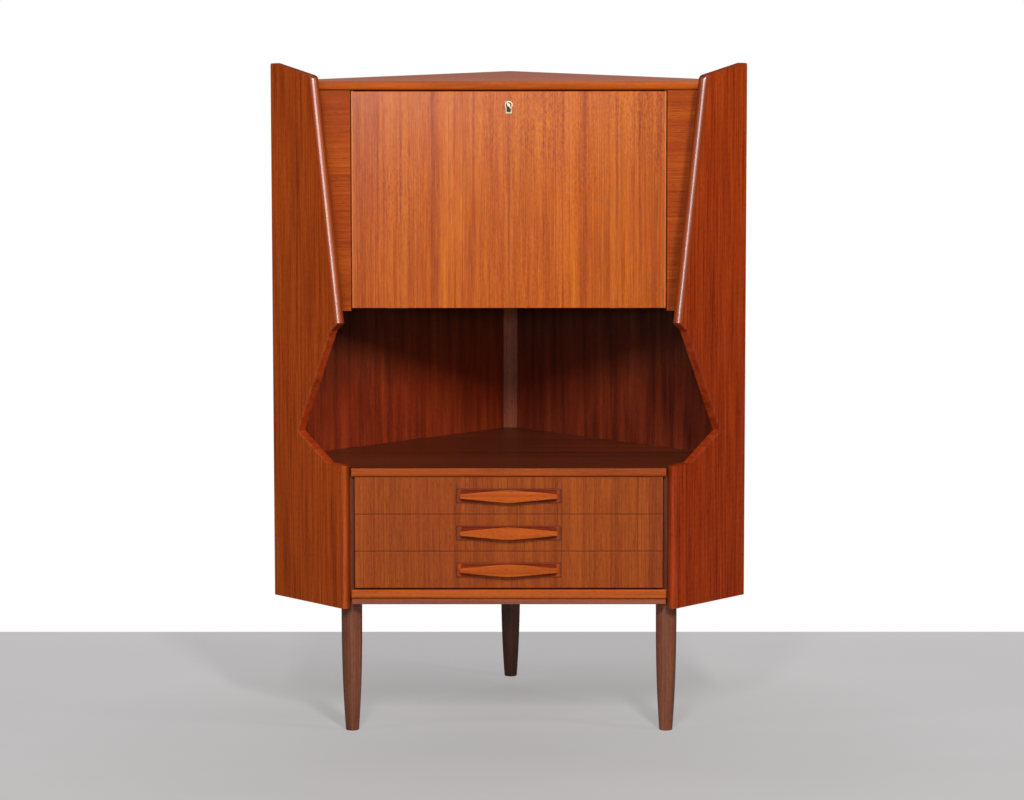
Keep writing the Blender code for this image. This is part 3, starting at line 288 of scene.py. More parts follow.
# Wood tones as dark line, shade, body and light streak
DOOR_TONES = (
    (0.24, 0.032, 0.002), (0.36, 0.060, 0.003), (0.44, 0.081, 0.003), (0.56, 0.130, 0.006),
)
WING_LEFT_TONES = (
    (0.12, 0.017, 0.003), (0.28, 0.040, 0.005), (0.37, 0.056, 0.006), (0.49, 0.093, 0.009),
)
WING_RIGHT_TONES = (
    (0.10, 0.008, 0.002), (0.23, 0.022, 0.003), (0.31, 0.032, 0.004), (0.42, 0.057, 0.007),
)
STILE_TONES = (
    (0.15, 0.020, 0.003), (0.28, 0.040, 0.004), (0.35, 0.053, 0.004), (0.51, 0.110, 0.014),
)
# Top tones paler and pinker than the wood: partly the teak, partly a painted sheen of the grazing
# light on the top
TOP_SHEEN_TONES = (
    (0.53, 0.166, 0.105), (0.66, 0.220, 0.142), (0.76, 0.264, 0.168), (0.82, 0.304, 0.198),
)
NOSE_TONES = (
    (0.19, 0.028, 0.002), (0.31, 0.053, 0.002), (0.40, 0.072, 0.002), (0.57, 0.132, 0.007),
)
EDGE_TONES = (
    (0.20, 0.031, 0.003), (0.31, 0.055, 0.003), (0.40, 0.072, 0.003), (0.53, 0.115, 0.007),
)
RAIL_TONES = (
    (0.14, 0.033, 0.014), (0.21, 0.053, 0.023), (0.26, 0.068, 0.030), (0.34, 0.095, 0.043),
)
DRAWER_TONES = (
    (0.12, 0.020, 0.004), (0.23, 0.040, 0.006), (0.29, 0.052, 0.007), (0.40, 0.086, 0.010),
)
NICHE_TONES = (
    (0.08, 0.010, 0.003), (0.17, 0.018, 0.004), (0.23, 0.025, 0.005), (0.33, 0.042, 0.008),
)
NICHE_RIGHT_TONES = (
    (0.05, 0.007, 0.004), (0.12, 0.015, 0.005), (0.16, 0.021, 0.006), (0.23, 0.035, 0.009),
)
# Dark shelf tones, also painted on the drawer cases' front edges as painted shade
SHELF_AND_SHADE_TONES = (
    (0.05, 0.009, 0.004), (0.09, 0.016, 0.005), (0.11, 0.020, 0.006), (0.16, 0.032, 0.009),
)
PULL_TONES = (
    (0.18, 0.025, 0.003), (0.34, 0.058, 0.005), (0.42, 0.076, 0.006), (0.52, 0.110, 0.012),
)
# Dark tones round the plates' outer edge: a painted shadow line
PLATE_SHADOW_LINE_TONES = (
    (0.05, 0.010, 0.004), (0.09, 0.017, 0.007), (0.12, 0.022, 0.009), (0.17, 0.032, 0.012),
)
PLATE_TONES = (
    (0.13, 0.022, 0.006), (0.21, 0.036, 0.009), (0.26, 0.046, 0.011), (0.33, 0.066, 0.016),
)
WARM_PLATE_TONES = (
    (0.16, 0.022, 0.004), (0.28, 0.042, 0.006), (0.35, 0.056, 0.007), (0.44, 0.084, 0.011),
)
# Darker, redder tones in the plates' sunk fields round the lozenge: painted shade
FIELD_SHADE_TONES = (
    (0.09, 0.010, 0.002), (0.16, 0.018, 0.002), (0.21, 0.024, 0.003), (0.28, 0.036, 0.004),
)
LIP_TONES = (
    (0.11, 0.015, 0.003), (0.23, 0.032, 0.004), (0.30, 0.045, 0.005), (0.40, 0.072, 0.008),
)
# Darker tones for the front lips' inner part: painted shade on the side turned from the light
LIP_INNER_SHADE_TONES = (
    (0.06, 0.008, 0.002), (0.12, 0.016, 0.003), (0.16, 0.023, 0.004), (0.22, 0.036, 0.006),
)
POST_TONES = (
    (0.08, 0.019, 0.008), (0.18, 0.038, 0.013), (0.235, 0.051, 0.016), (0.33, 0.076, 0.022),
)
# Redder tones for the niche lips' edges: partly the solid teak's colour, partly painted shade
NICHE_EDGE_TONES_AND_SHADE = (
    (0.12, 0.012, 0.003), (0.24, 0.024, 0.004), (0.32, 0.034, 0.005), (0.42, 0.052, 0.007),
)
# Darker tones for the foot lips' inner side: painted shade
FOOT_LIP_SHADE_TONES = (
    (0.06, 0.008, 0.003), (0.12, 0.016, 0.004), (0.16, 0.022, 0.005), (0.22, 0.034, 0.007),
)
LEG_TONES = (
    (0.08, 0.022, 0.010), (0.15, 0.042, 0.018), (0.19, 0.056, 0.023), (0.27, 0.082, 0.034),
)
# Darker tones for the back leg: painted shade under the cabinet
BACK_LEG_SHADE_TONES = (
    (0.05, 0.020, 0.012), (0.09, 0.038, 0.023), (0.12, 0.050, 0.030), (0.18, 0.075, 0.045),
)
CARCASS_TONES = (
    (0.16, 0.040, 0.018), (0.30, 0.075, 0.024), (0.38, 0.096, 0.028), (0.48, 0.130, 0.036),
)
MAPLE_TONES = (
    (0.42, 0.26, 0.12), (0.58, 0.40, 0.22), (0.66, 0.47, 0.27), (0.72, 0.55, 0.34),
)
PLY_TONES = (
    (0.34, 0.19, 0.09), (0.50, 0.31, 0.16), (0.58, 0.38, 0.21), (0.66, 0.46, 0.27),
)
TONE_PLACES = (0.16, 0.42, 0.58, 0.92)
GOLD_TINT = (1.04, 1.22, 0.60)

# Metal tones as dull film, body and bright
BRASS_TONES = ((0.60, 0.40, 0.16), (0.82, 0.62, 0.30), (0.92, 0.76, 0.46))
# Near-white key tones: pale metal, partly a painted highlight
KEY_TONES_WITH_HIGHLIGHT = ((0.82, 0.70, 0.46), (0.94, 0.86, 0.66), (0.98, 0.94, 0.82))
LOCK_TONES = ((0.05, 0.042, 0.034), (0.10, 0.085, 0.068), (0.17, 0.14, 0.11))
FILM_PLACES = (0.30, 0.52, 0.75)


def wood(
    name,
    tones,
    along="z",
    across="x",
    centre=(0.0, 0.0, 0.0),
    turn=0.0,
    source="object",
    leaves=None,
    mirrored=False,
    contrast=1.0,
    stripes=1.0,
    fibres=1.0,
    figure=36.0,
    fine=1.0,
    run=2.0,
    fleck=0.25,
    pores=0.6,
    rough=0.40,
    gloss=0.5,
    bump=0.25,
    veins=0.35,
    edging=None,
    front_tones_and_shade=None,
    deep_tones_and_shade=None,
    fleck_zone=None,
    coat=0.0,
    gold=0.0,
    painted_light_by_height=None,
    lining=None,
):
    """A board of straight grained wood.

    Noise stretched along the grain gives broad bands, stripes, fibres, dark veins and short dark
    pores. Their weighted sum picks the tone. Leaves of veneer step the tone across. The front of a
    board and the deeper part of a lip or plate can have tones of their own. These are the nosings'
    and rims' own colour, painted shade on the drawer cases' front edges and in the lips' inner
    parts, partly the niche lips' own redder colour, and a painted shadow line round the plates. A
    coat of polish keeps to the round of a lip that hands have rubbed. Above a height the colour is
    multiplied by a tint, or below it where the spread is negative. That is painted light and
    shade: a painted sheen on the door, painted highlights under the nosings, painted light on the
    right wing's top and painted shade under the bar floor. A back panel has plainer tones on its
    rear and above a height, where it lines the bar compartment. Heights count from the floor,
    without the centre that picks a board's own place in the grain.
    """
    finish = Finish(bpy.data.materials.new(name))
    axes = dict(zip("xyz", finish.parts(place_of(finish, centre, turn, source))))
    a, g = axes[across], axes[along]
    d = axes[next(axis for axis in "xyz" if axis not in (along, across))]

    # Figure of the wood, with stretches per metre across, through and along the grain
    drift = finish.noise(a * 6.0, d * 6.0, g * 1.6, 1.0)
    face = abs(a) if mirrored else a
    line = (drift - 0.5) * 0.010 + face
    broad = finish.noise(line * figure, d * 12.0, g * (0.4 * run), 2.0, 0.5)
    stripe = finish.noise(line * (190.0 * fine), d * 50.0, g * run, 3.0, 0.6)
    fibre = finish.noise(a * 950.0, d * 500.0, g * 16.0, 2.0, 0.6)
    pore = finish.noise(a * 1700.0, d * 1700.0, g * 75.0, 1.0)
    mottle = finish.noise(a * 280.0, d * 200.0, g * 120.0, 3.0, 0.65)

    # Cross fleck comes in patches, and on the door round its upper middle
    patch = finish.noise(a * 7.0, d * 7.0, g * 3.5, 1.0)
    mottle_share = patch.above(0.50, 0.30) * fleck + fleck * 0.4
    if fleck_zone:
        half, level = fleck_zone
        zone = (1.0 - abs(a).above(half, 0.03)) * g.above(level, 0.25)
        mottle_share = mottle_share * (zone * 0.6 + 0.4)

    tone = (broad - 0.5) * (0.85 * contrast) + (stripe - 0.5) * (0.80 * stripes)
    tone = tone + (fibre - 0.5) * (0.55 * fibres) + (mottle - 0.5) * mottle_share + 0.55
    if leaves:
        tone = tone + (finish.ramp(face / leaves[0], leaves[1]) - 0.5)
    tone = tone.reckon("MAXIMUM", tone, 0.0)

    def toned(board_tones):
        """The sum read off a board's tones."""
        return finish.ramp(tone, list(zip(TONE_PLACES, board_tones)))

    colour = toned(tones)

    # Dark veins and pores lie over the tone
    vein = finish.noise(line * 520.0, d * 150.0, g * 1.1 + 30.0, 1.0).above(0.63, 0.06)
    colour = finish.mix(vein * veins, colour, tones[0])
    pits = 1.0 - pore.above(0.36, 0.10)
    dark = tuple(0.45 * value for value in tones[0])
    colour = finish.mix(pits * pores, colour, dark)

    # Golden patches, painted light and shade by height, the bar's lining, the joiner's edges, and
    # fronts and deeper parts in tones of their own, some of them painted shade
    if gold:
        glow = finish.noise(a * 16.0, d * 10.0, g * 2.2 + 7.0, 2.0).above(0.52, 0.22)
        colour = finish.mix(glow * gold, colour, GOLD_TINT, "MULTIPLY")
    # Painted light and shade by height: a tint multiplies the colour above the level, or below it
    # where the spread is negative
    if painted_light_by_height:
        level, spread, tint = painted_light_by_height
        painted_light_share = axes["z"].above(level + centre[2], spread)
        colour = finish.mix(painted_light_share, colour, tint, "MULTIPLY")
    if lining:
        board_face, top = lining
        in_niche = 1.0 - abs(a - (board_face + centre[0])).above(0.005, 0.002)
        in_niche = in_niche * (1.0 - axes["z"].above(top + centre[2], 0.004))
        colour = finish.mix(in_niche, toned(CARCASS_TONES), colour)
    if edging:
        half, tint = edging
        colour = finish.mix(abs(a).above(half, 0.0004), colour, tint)
    # Fronts in tones of their own: the nosings' and the plates' rims' own colour, and painted
    # shade on the drawer cases' front edges
    if front_tones_and_shade:
        limit, front_part_tones = front_tones_and_shade
        front = (axes["y"] * -1.0).above(-limit, 0.0006)
        colour = finish.mix(front, colour, toned(front_part_tones))
    if deep_tones_and_shade or coat:
        depth = finish.parts(place_of(finish, source="grain"))[1]
    # Deeper parts in tones of their own: painted shade on the lips' inner parts, partly the niche
    # lips' own colour, and a painted shadow line round the plates
    if deep_tones_and_shade:
        limit, back_tones = deep_tones_and_shade
        deep = depth.above(limit, limit * 0.8)
        colour = finish.mix(deep, colour, toned(back_tones))

    sheen = fibre * 0.14 + broad * 0.08 + (rough - 0.11)
    height = fibre * 0.6 + stripe * 0.3 - pits * 0.8 + mottle * mottle_share * 0.8
    fixed = {"Specular_IOR_Level": gloss}
    if coat:
        worn = depth.above(0.0008, 0.0012) * (1.0 - depth.above(0.0090, 0.0040)) * coat
        fixed.update({"Coat_Weight": worn, "Coat_Roughness": 0.31, "Coat_IOR": 2.1})
    shader = finish.principled(colour, sheen + pits * 0.15, height, bump, 0.00025, **fixed)
    return finish.close(shader)


def metal(name, tones, rough=0.28, metallic=1.0):
    """Metal with a soft brush, small spots and a duller film in patches."""
    finish = Finish(bpy.data.materials.new(name))
    x, y, z = finish.parts(place_of(finish))
    film = finish.noise(x * 60.0, y * 60.0, z * 60.0, 3.0, 0.6)
    brush = finish.noise(x * 2600.0, y * 500.0, z * 500.0, 2.0)
    spots = finish.noise(x * 420.0, y * 420.0, z * 420.0, 2.0).above(0.66, 0.08)
    colour = finish.ramp(film, list(zip(FILM_PLACES, tones)))
    colour = finish.mix(spots * 0.4, colour, tuple(0.35 * value for value in tones[0]))
    worn = film * 0.22 + brush * 0.10 + (rough - 0.14)
    shader = finish.principled(
        colour, worn + spots * 0.2, brush - spots, 0.12, 0.0001, Metallic=metallic
    )
    return finish.close(shader)


# Veneer leaves on the fronts: share of the half width and tone
DOOR_LEAVES = (
    FRONT_HALF,
    [
        (0.00, 0.40), (0.02, 0.50), (0.17, 0.52), (0.205, 0.62), (0.217, 0.50), (0.222, 0.26),
        (0.228, 0.54), (0.335, 0.56), (0.345, 0.30), (0.353, 0.62), (0.42, 0.66), (0.450, 0.46),
        (0.492, 0.34), (0.500, 0.56), (0.56, 0.62), (0.675, 0.60), (0.688, 0.28), (0.700, 0.58),
        (0.822, 0.56), (0.832, 0.34), (0.845, 0.52), (0.93, 0.44), (1.00, 0.40),
    ],
)
DRAWER_LEAVES = (
    FRONT_HALF,
    [
        (0.00, 0.50), (0.10, 0.46), (0.36, 0.48), (0.43, 0.58), (0.46, 0.42), (0.60, 0.48),
        (0.63, 0.64), (0.66, 0.46), (0.86, 0.56), (0.90, 0.44), (1.00, 0.46),
    ],
)


# Surfaces
SHARP_ANGLE = math.radians(32)


def fan(ring):
    """Triangles from a ring's first point to each of its other edges."""
    return np.stack([np.full(len(ring) - 2, ring[0]), ring[1:-1], ring[2:]], 1)


def skin(rings, closed_path=False):
    """Points and faces of a profile carried along a path.

    rings has one closed profile per station. Neighbouring profiles are joined by quads,
    point j of ring i with point j + 1 and ring i + 1. The two ends are filled flat unless
    the path runs back to its start. The faces are turned over where the volume that they
    enclose, the sum of the triple products of their triangles, comes out negative.
    """
    stations, around, _ = rings.shape
    index = np.arange(stations * around).reshape(stations, around)
    if closed_path:
        first, second = index, np.roll(index, -1, 0)
    else:
        first, second = index[:-1], index[1:]
    quads = np.stack(
        [first, np.roll(first, -1, 1), np.roll(second, -1, 1), second], -1
    ).reshape(-1, 4)
    faces = [tuple(quad) for quad in quads.tolist()]
    triangles = [quads[:, :3], quads[:, [0, 2, 3]]]
    if not closed_path:
        ends = (index[0, ::-1], index[-1])
        faces += [tuple(end.tolist()) for end in ends]
        triangles += [fan(end) for end in ends]
    points = rings.reshape(-1, 3)
    a, b, c = points[np.concatenate(triangles).T]
    volume = np.einsum("ij,ij->", a, np.cross(b, c))
    return points, faces if volume > 0 else [face[::-1] for face in faces]


def merge(*shells):
    """Several closed shells as one list of points and faces."""
    points, faces, start = [], [], 0
    for shell_points, shell_faces in shells:
        points.append(shell_points)
        faces += [tuple(i + start for i in face) for face in shell_faces]
        start += len(shell_points)
    return np.concatenate(points), faces


def piece(name, shell, material, body, node=None, grain=None):
    """An object from a shell, with its finish, its body and the node it stands for."""
    points, faces = shell
    mesh = bpy.data.meshes.new(name)
    mesh.from_pydata(points.tolist(), [], faces)
    mesh.shade_smooth()
    mesh.set_sharp_from_angle(angle=SHARP_ANGLE)
    if grain is not None:
        places = mesh.attributes.new("grain", "FLOAT_VECTOR", "POINT")
        places.data.foreach_set("vector", grain.astype(np.float32).ravel())
    mesh.materials.append(material)
    obj = bpy.data.objects.new(name, mesh)
    bpy.context.scene.collection.objects.link(obj)
    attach(obj, body)
    if node:
        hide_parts(node)


def inset_corners(outline, widths):
    """Corners of an outline whose edges have moved inwards by their own widths.

    Each new corner is where the moved lines of the two edges that meet there cross.
    """
    way = np.roll(outline, -1, 0) - outline
    way /= np.linalg.norm(way, axis=1)[:, None]
    inward = np.stack([-way[:, 1], way[:, 0]], 1)
    start = outline + inward * widths[:, None]
    before, way_before = np.roll(start, 1, 0), np.roll(way, 1, 0)
    gap = start - before
    cross = way_before[:, 0] * way[:, 1] - way_before[:, 1] * way[:, 0]
    run = (gap[:, 0] * way[:, 1] - gap[:, 1] * way[:, 0]) / cross
    return before + way_before * run[:, None]


def lip_profile(width, thick, radius, nose, steps=10):
    """Section of a lip as inset and depth: flat sides, with both outer arrises rounded.

    The arris in front is a quarter circle of the nose radius, the one behind of the
    smaller radius. Their centres lie inside the section.
    """
    turn = np.linspace(0.0, math.pi / 2, steps + 1)
    quarter = np.stack([1.0 - np.sin(turn), 1.0 - np.cos(turn)], 1)
    near = nose * quarter
    far = radius * quarter[::-1]
    far[:, 1] = thick - far[:, 1]
    return np.concatenate([[(width, 0.0)], near, far, [(width, thick)]])


def wing_lip(side, edge, width, with_end):
    """Rings and grain places of one lip, mitred at both ends.

    The section is carried along its edge of the outline. Every point of it starts and
    ends on the mitre lines, so its run depends on its inset. Near a free end the outer
    side draws in along a quarter circle. The grain places are inset, depth and run, moved
    by edge and side so that every lip has a figure of its own.
    """
    widths = np.zeros(len(WING_OUTLINE))
    for lip_edge, _, lip_width in WING_LIPS:
        widths[lip_edge] = lip_width
    inner = inset_corners(WING_OUTLINE, widths)
    a, b = WING_OUTLINE[edge], WING_OUTLINE[edge + 1]
    c, d = inner[edge + 1], inner[edge]
    length = np.linalg.norm(b - a)
    way = (b - a) / length
    inward = np.array([-way[1], way[0]])
    radius = FRONT_ROUND if width == FRONT_LIP else NICHE_ROUND
    nose = FRONT_NOSE if with_end else radius
    section = lip_profile(width, WING_THICK, radius, nose)
    inset, depth = section[:, 0], section[:, 1]
    end_run = length + ((c - a) @ way - length) * inset / width - HAIR / 2
    start_run = ((d - a) @ way) * inset / width + HAIR / 2
    shares = np.linspace(0.0, 1.0, LIP_STATIONS)
    if with_end:
        turn = np.linspace(0.0, math.pi / 2, 9)
        near_end = 1.0 - FRONT_ROUND / length * (1.0 - np.sin(turn))
        shares = np.concatenate([np.linspace(0.0, near_end[0], LIP_STATIONS)[:-1], near_end])
    run = start_run[None] + (end_run - start_run)[None] * shares[:, None]
    inset = np.broadcast_to(inset, run.shape).copy()
    if with_end:
        past = np.clip((shares - near_end[0]) / (1.0 - near_end[0]), 0.0, 1.0)
        draw = FRONT_ROUND * (1.0 - np.sqrt(np.maximum(1.0 - past**2, 0.0)))
        inset = draw[:, None] + inset * (1.0 - draw[:, None] / width)
    flat = a[None, None] + way * run[..., None] + inward * inset[..., None]
    reach, height = flat[..., 0], flat[..., 1]
    depth = np.broadcast_to(depth, run.shape)
    x = side * (HALF_WIDTH - reach * math.cos(WING_TURN) - depth * math.sin(WING_TURN))
    y = WALL_EDGE_Y - reach * math.sin(WING_TURN) + depth * math.cos(WING_TURN)
    across, along = inset + edge * 0.31 + side * 0.77, run + edge * 1.7
    grain = np.stack([across, depth, along], -1)
    return np.stack([x, y, height], -1), grain.reshape(-1, 3)


def lathe(radius, height, place, around=72):
    """A turned shape: each height's radius swept round the vertical through its place."""
    turn = np.linspace(0.0, 2 * math.pi, around, endpoint=False)
    ring = np.stack([np.cos(turn), np.sin(turn)], 1)
    rings = np.zeros((len(radius), around, 3))
    rings[..., :2] = radius[:, None, None] * ring[None] + np.array(place)
    rings[..., 2] = height[:, None]
    return skin(rings)


def leg_shape(place):
    """A turned leg: nearly straight above, its radius falling with a power of the way down.

    The foot's arris is a quarter circle and the spigot stands on the shoulder.
    """
    way = np.linspace(0.0, 1.0, 60)
    height = LEG_LENGTH + (LEG_FOOT_ROUND - LEG_LENGTH) * way
    radius = LEG_TOP_RADIUS - (LEG_TOP_RADIUS - LEG_FOOT_RADIUS) * way**LEG_SWELL
    turn = np.linspace(0.0, math.pi / 2, 8)[1:]
    foot_radius = LEG_FOOT_RADIUS - LEG_FOOT_ROUND * (1 - np.cos(turn))
    foot_height = LEG_FOOT_ROUND * (1 - np.sin(turn))
    end = LEG_LENGTH + SPIGOT_LENGTH
    top_radius = [POLE, SPIGOT_RADIUS - LEG_ARRIS, SPIGOT_RADIUS, SPIGOT_RADIUS]
    top_radius.append(LEG_TOP_RADIUS - LEG_ARRIS)
    top_height = [end, end, end - LEG_ARRIS, LEG_LENGTH, LEG_LENGTH]
    radius[0] = LEG_TOP_RADIUS
    height[0] = LEG_LENGTH - LEG_ARRIS
    return lathe(
        np.concatenate([top_radius, radius, foot_radius, [POLE]]),
        np.concatenate([top_height, height, foot_height, [0.0]]),
        place,
    )


def pull_half_height(share):
    """Half the pull's height at a share of its half length: straight flanks, rounded crest.

    The height falls along a hyperbola from the crest to the two ends.
    """
    whole_fall = math.hypot(1.0, PULL_CREST) - PULL_CREST
    fall = (np.hypot(share, PULL_CREST) - PULL_CREST) / whole_fall
    return (PULL_HEIGHT - (PULL_HEIGHT - PULL_END_HEIGHT) * fall) / 2


def pull_shape(middle):
    """The carved lozenge: a section of cove, arris and flat face carried along its length.

    At each station the section spans the half height of the outline. From the neck a
    quarter ellipse hollows out to the arris, which is a small quarter circle.
    """
    share = np.sin(np.linspace(-math.pi / 2, math.pi / 2, 121))
    half = pull_half_height(np.abs(share))
    end = np.clip((1.0 - np.abs(share)) * PULL_HALF / PULL_ARRIS, 0.0, 1.0)
    half = half - 0.8 * PULL_ARRIS * (1.0 - np.sqrt(1.0 - (1.0 - end) ** 2))
    turn = np.linspace(0.0, math.pi / 2, 9)
    neck = half * PULL_NECK
    cove_span = PULL_PROUD - PULL_ARRIS
    cove_y = cove_span * np.sin(turn)
    cove_z = neck[:, None] + (half - neck)[:, None] * (1.0 - np.cos(turn))
    cove_y = np.concatenate([[0.0, 0.0002], cove_y[1:]])
    cove_z = np.concatenate([neck[:, None], cove_z], 1)
    arris_y = cove_span + PULL_ARRIS * np.sin(turn[1:])
    arris_z = half[:, None] - PULL_ARRIS * (1.0 - np.cos(turn[1:]))
    out = np.concatenate([cove_y, arris_y])
    up = np.concatenate([cove_z, arris_z], 1)
    out_all = np.concatenate([out, out[::-1]])
    up_all = np.concatenate([up, -up[:, ::-1]], 1)
    rings = np.empty((len(share), len(out_all), 3))
    rings[..., 0] = (share * PULL_HALF)[:, None]
    plate_face = DRAWER_Y - PLATE_THICK
    root = plate_face + FIELD_DEPTH + HAIR
    rings[..., 1] = np.where(out_all > 0.0, plate_face - out_all, root)[None]
    rings[..., 2] = middle + up_all
    return skin(rings)


def rounded_rectangle(half, height, radius, steps=5):
    """Points round a rectangle whose corners are quarter circles."""
    turn = np.linspace(0.0, math.pi / 2, steps)
    arc = np.stack([np.cos(turn), np.sin(turn)], 1)
    centre = np.array([half - radius, height / 2 - radius])
    corners = []
    for sign_x, sign_z, order in ((1, 1, 1), (-1, 1, -1), (-1, -1, 1), (1, -1, -1)):
        corners.append((centre + arc[::order] * radius) * (sign_x, sign_z))
    return np.concatenate(corners)


def plate_shape(middle):
    """The pull's plate: rounded rectangles from its back round the rim into the sunk field.

    The outer arris and the rim's inner arris are quarter circles of the easing radius.
    The places tell how near each point lies to the outer edge, for the painted shadow line there.
    """
    ease, face = PLATE_ARRIS, DRAWER_Y - PLATE_THICK
    turn = np.linspace(0.0, math.pi / 2, 6)
    outer = [(0.0, DRAWER_Y - HAIR)]
    outer += [(ease * (1 - math.cos(t)), face + ease * (1 - math.sin(t))) for t in turn]
    inner = [(ease * (1 - math.sin(t)), face + ease * (1 - math.cos(t))) for t in turn]
    inner.append((-ease * 0.4, face + FIELD_DEPTH))
    stations = [(PLATE_HALF, PLATE_HEIGHT, PLATE_CORNER, -draw, y) for draw, y in outer]
    stations += [
        (FIELD_HALF, PLATE_HEIGHT - 2 * RIM, FIELD_CORNER, grow, y) for grow, y in inner
    ]
    rings = []
    for half, height, corner, grow, y in stations:
        flat = rounded_rectangle(half + grow, height + 2 * grow, corner)
        rings.append(np.stack([flat[:, 0], np.full(len(flat), y), flat[:, 1] + middle], 1))
    rings = np.array(rings)
    inset = [draw for draw, _ in outer] + [RIM - grow for grow, _ in inner]
    places = np.zeros_like(rings)
    places[..., 1] = np.maximum(PLATE_SHADOW_LINE - np.array(inset), 0.0)[:, None]
    return skin(rings), places.reshape(-1, 3)


def keyhole(margin, steps=28):
    """Outline of the keyhole grown by a margin: a round head over a straight slot."""
    radius = KEYHOLE_HEAD + margin
    half, foot = KEYHOLE_SLOT_HALF + margin, KEYHOLE_FOOT + margin
    start = -math.acos(half / radius)
    angle = np.linspace(start, math.pi - start, steps)
    head = np.stack([radius * np.cos(angle), radius * np.sin(angle)], 1)
    side = np.linspace(0.0, 1.0, 6)[1:-1, None]
    low_left, low_right = np.array([(-half, -foot), (half, -foot)])
    left = head[-1] + (low_left - head[-1]) * side
    right = low_right + (head[0] - low_right) * side
    return np.concatenate([head, left, [low_left, low_right], right])


def liner_shape():
    """The keyhole's liner: every point of its section lies on the outline of its own margin.

    The section is a wall with a half round front, sunk into the door.
    """
    turn = np.linspace(0.0, math.pi, 9)
    radius, front = KEYHOLE_WALL / 2, DOOR_FACE - LINER_PROUD
    margins = list(radius * np.cos(turn) - radius) + [-KEYHOLE_WALL, 0.0]
    depths = list(front + radius * 0.7 * (1.0 - np.sin(turn))) + [DOOR_FACE + LINER_DEPTH] * 2
    rings = np.empty((len(keyhole(0.0)), len(margins), 3))
    for k, (margin, y) in enumerate(zip(margins, depths)):
        flat = keyhole(margin)
        rings[:, k, 0] = flat[:, 0]
        rings[:, k, 1] = y
        rings[:, k, 2] = KEY_HEIGHT + flat[:, 1]
    return skin(rings, True)


def on_key(points, faces):
    """Key points turned about its axis to where the key rests."""
    turned = points.copy()
    cos, sin = math.cos(KEY_TURN), math.sin(KEY_TURN)
    turned[:, 0] = cos * points[:, 0] - sin * points[:, 2]
    turned[:, 2] = KEY_HEIGHT + sin * points[:, 0] + cos * points[:, 2]
    return turned, faces


def key_shape():
    """The key: an oval ring, a turned shaft with collars and a flat bit.

    The ring carries an oval section round an ellipse. The shaft's radius is read at each
    depth off a list of necks and collars. The bit is a rounded rectangle drawn in at both
    faces.
    """
    angle = np.linspace(0.0, 2 * math.pi, 72, endpoint=False)[:, None]
    around = np.linspace(0.0, 2 * math.pi, 18, endpoint=False)[None]
    half, half_depth = BOW_HALF - BOW_RIM / 2, BOW_HALF_DEPTH - BOW_RIM / 2
    way = np.hypot(half_depth * np.cos(angle), half * np.sin(angle))
    out_z = half_depth * np.cos(angle) / way
    out_y = half * np.sin(angle) / way
    swell = BOW_RIM / 2 * np.cos(around)
    bow = np.stack(
        np.broadcast_arrays(
            BOW_THICK / 2 * np.sin(around),
            BOW_Y + half_depth * np.sin(angle) + out_y * swell,
            half * np.cos(angle) + out_z * swell,
        ),
        -1,
    )
    start = BOW_Y + BOW_HALF_DEPTH - BOW_RIM
    end = HINGE_Y + SHAFT_REACH
    collars = [
        (0.0, 0.5), (0.0, 1.0), (0.0012, 1.0), (0.0014, 1.45), (0.0024, 1.5), (0.0026, 1.05),
        (0.0040, 1.0), (0.0042, 1.3), (0.0050, 1.3), (0.0052, 1.0),
    ]
    depth = np.array([start + step for step, _ in collars] + [end - 0.0006, end, end])
    radius = SHAFT_RADIUS * np.array([share for _, share in collars] + [1.0, 0.75, 0.1])
    ring = np.linspace(0.0, 2 * math.pi, 32, endpoint=False)
    shaft = np.empty((len(depth), len(ring), 3))
    shaft[..., 0] = radius[:, None] * np.cos(ring)
    shaft[..., 1] = depth[:, None]
    shaft[..., 2] = radius[:, None] * np.sin(ring)
    bit = []
    for x, draw in ((-0.0011, 0.0004), (-0.0008, 0.0), (0.0008, 0.0), (0.0011, 0.0004)):
        flat = rounded_rectangle(BIT_WIDTH / 2 - draw, BIT_HEIGHT - 2 * draw, 0.0006)
        depths, heights = flat[:, 0] + end - BIT_BACK, flat[:, 1] - BIT_DROP
        bit.append(np.stack([np.full(len(flat), x), depths, heights], 1))
    shells = [skin(bow, True), skin(shaft), skin(np.array(bit))]
    return on_key(*merge(*shells))


# Finishes
WING_FIGURE = {
    "fine": 0.9, "run": 4.0, "contrast": 0.38, "stripes": 1.35, "fleck": 0.2, "veins": 0.45,
}
LEFT_WING = {"tones": WING_LEFT_TONES, "turn": WING_TURN, **WING_FIGURE}
RIGHT_WING = {
    "tones": WING_RIGHT_TONES, "turn": math.pi - WING_TURN, "centre": (3.1, 0.0, 1.0),
    **WING_FIGURE,
}
# Lips' deeper parts in their own tones: painted shade, on the niche lips partly their own colour
NICHE_LIP_COAT = {"rough": 0.34, "gloss": 0.3, "deep_tones_and_shade": (0.0016, NICHE_EDGE_TONES_AND_SHADE)}
FOOT_LIP_COAT = {"rough": 0.30, "gloss": 0.2, "deep_tones_and_shade": (0.008, FOOT_LIP_SHADE_TONES)}
wing_left_teak = wood("wing_left_teak", rough=0.42, gloss=0.08, **LEFT_WING)
# The right wing is painted lighter and yellower towards its top: painted light
wing_right_teak = wood(
    "wing_right_teak", rough=0.42, gloss=0.08, painted_light_by_height=(1.0, 0.8, (1.16, 1.34, 1.1)), **RIGHT_WING,
)
niche_lip_left_teak = wood("niche_lip_left_teak", **LEFT_WING, **NICHE_LIP_COAT)
niche_lip_right_teak = wood("niche_lip_right_teak", **RIGHT_WING, **NICHE_LIP_COAT)
foot_lip_left_teak = wood("foot_lip_left_teak", **LEFT_WING, **FOOT_LIP_COAT)
foot_lip_right_teak = wood("foot_lip_right_teak", **RIGHT_WING, **FOOT_LIP_COAT)
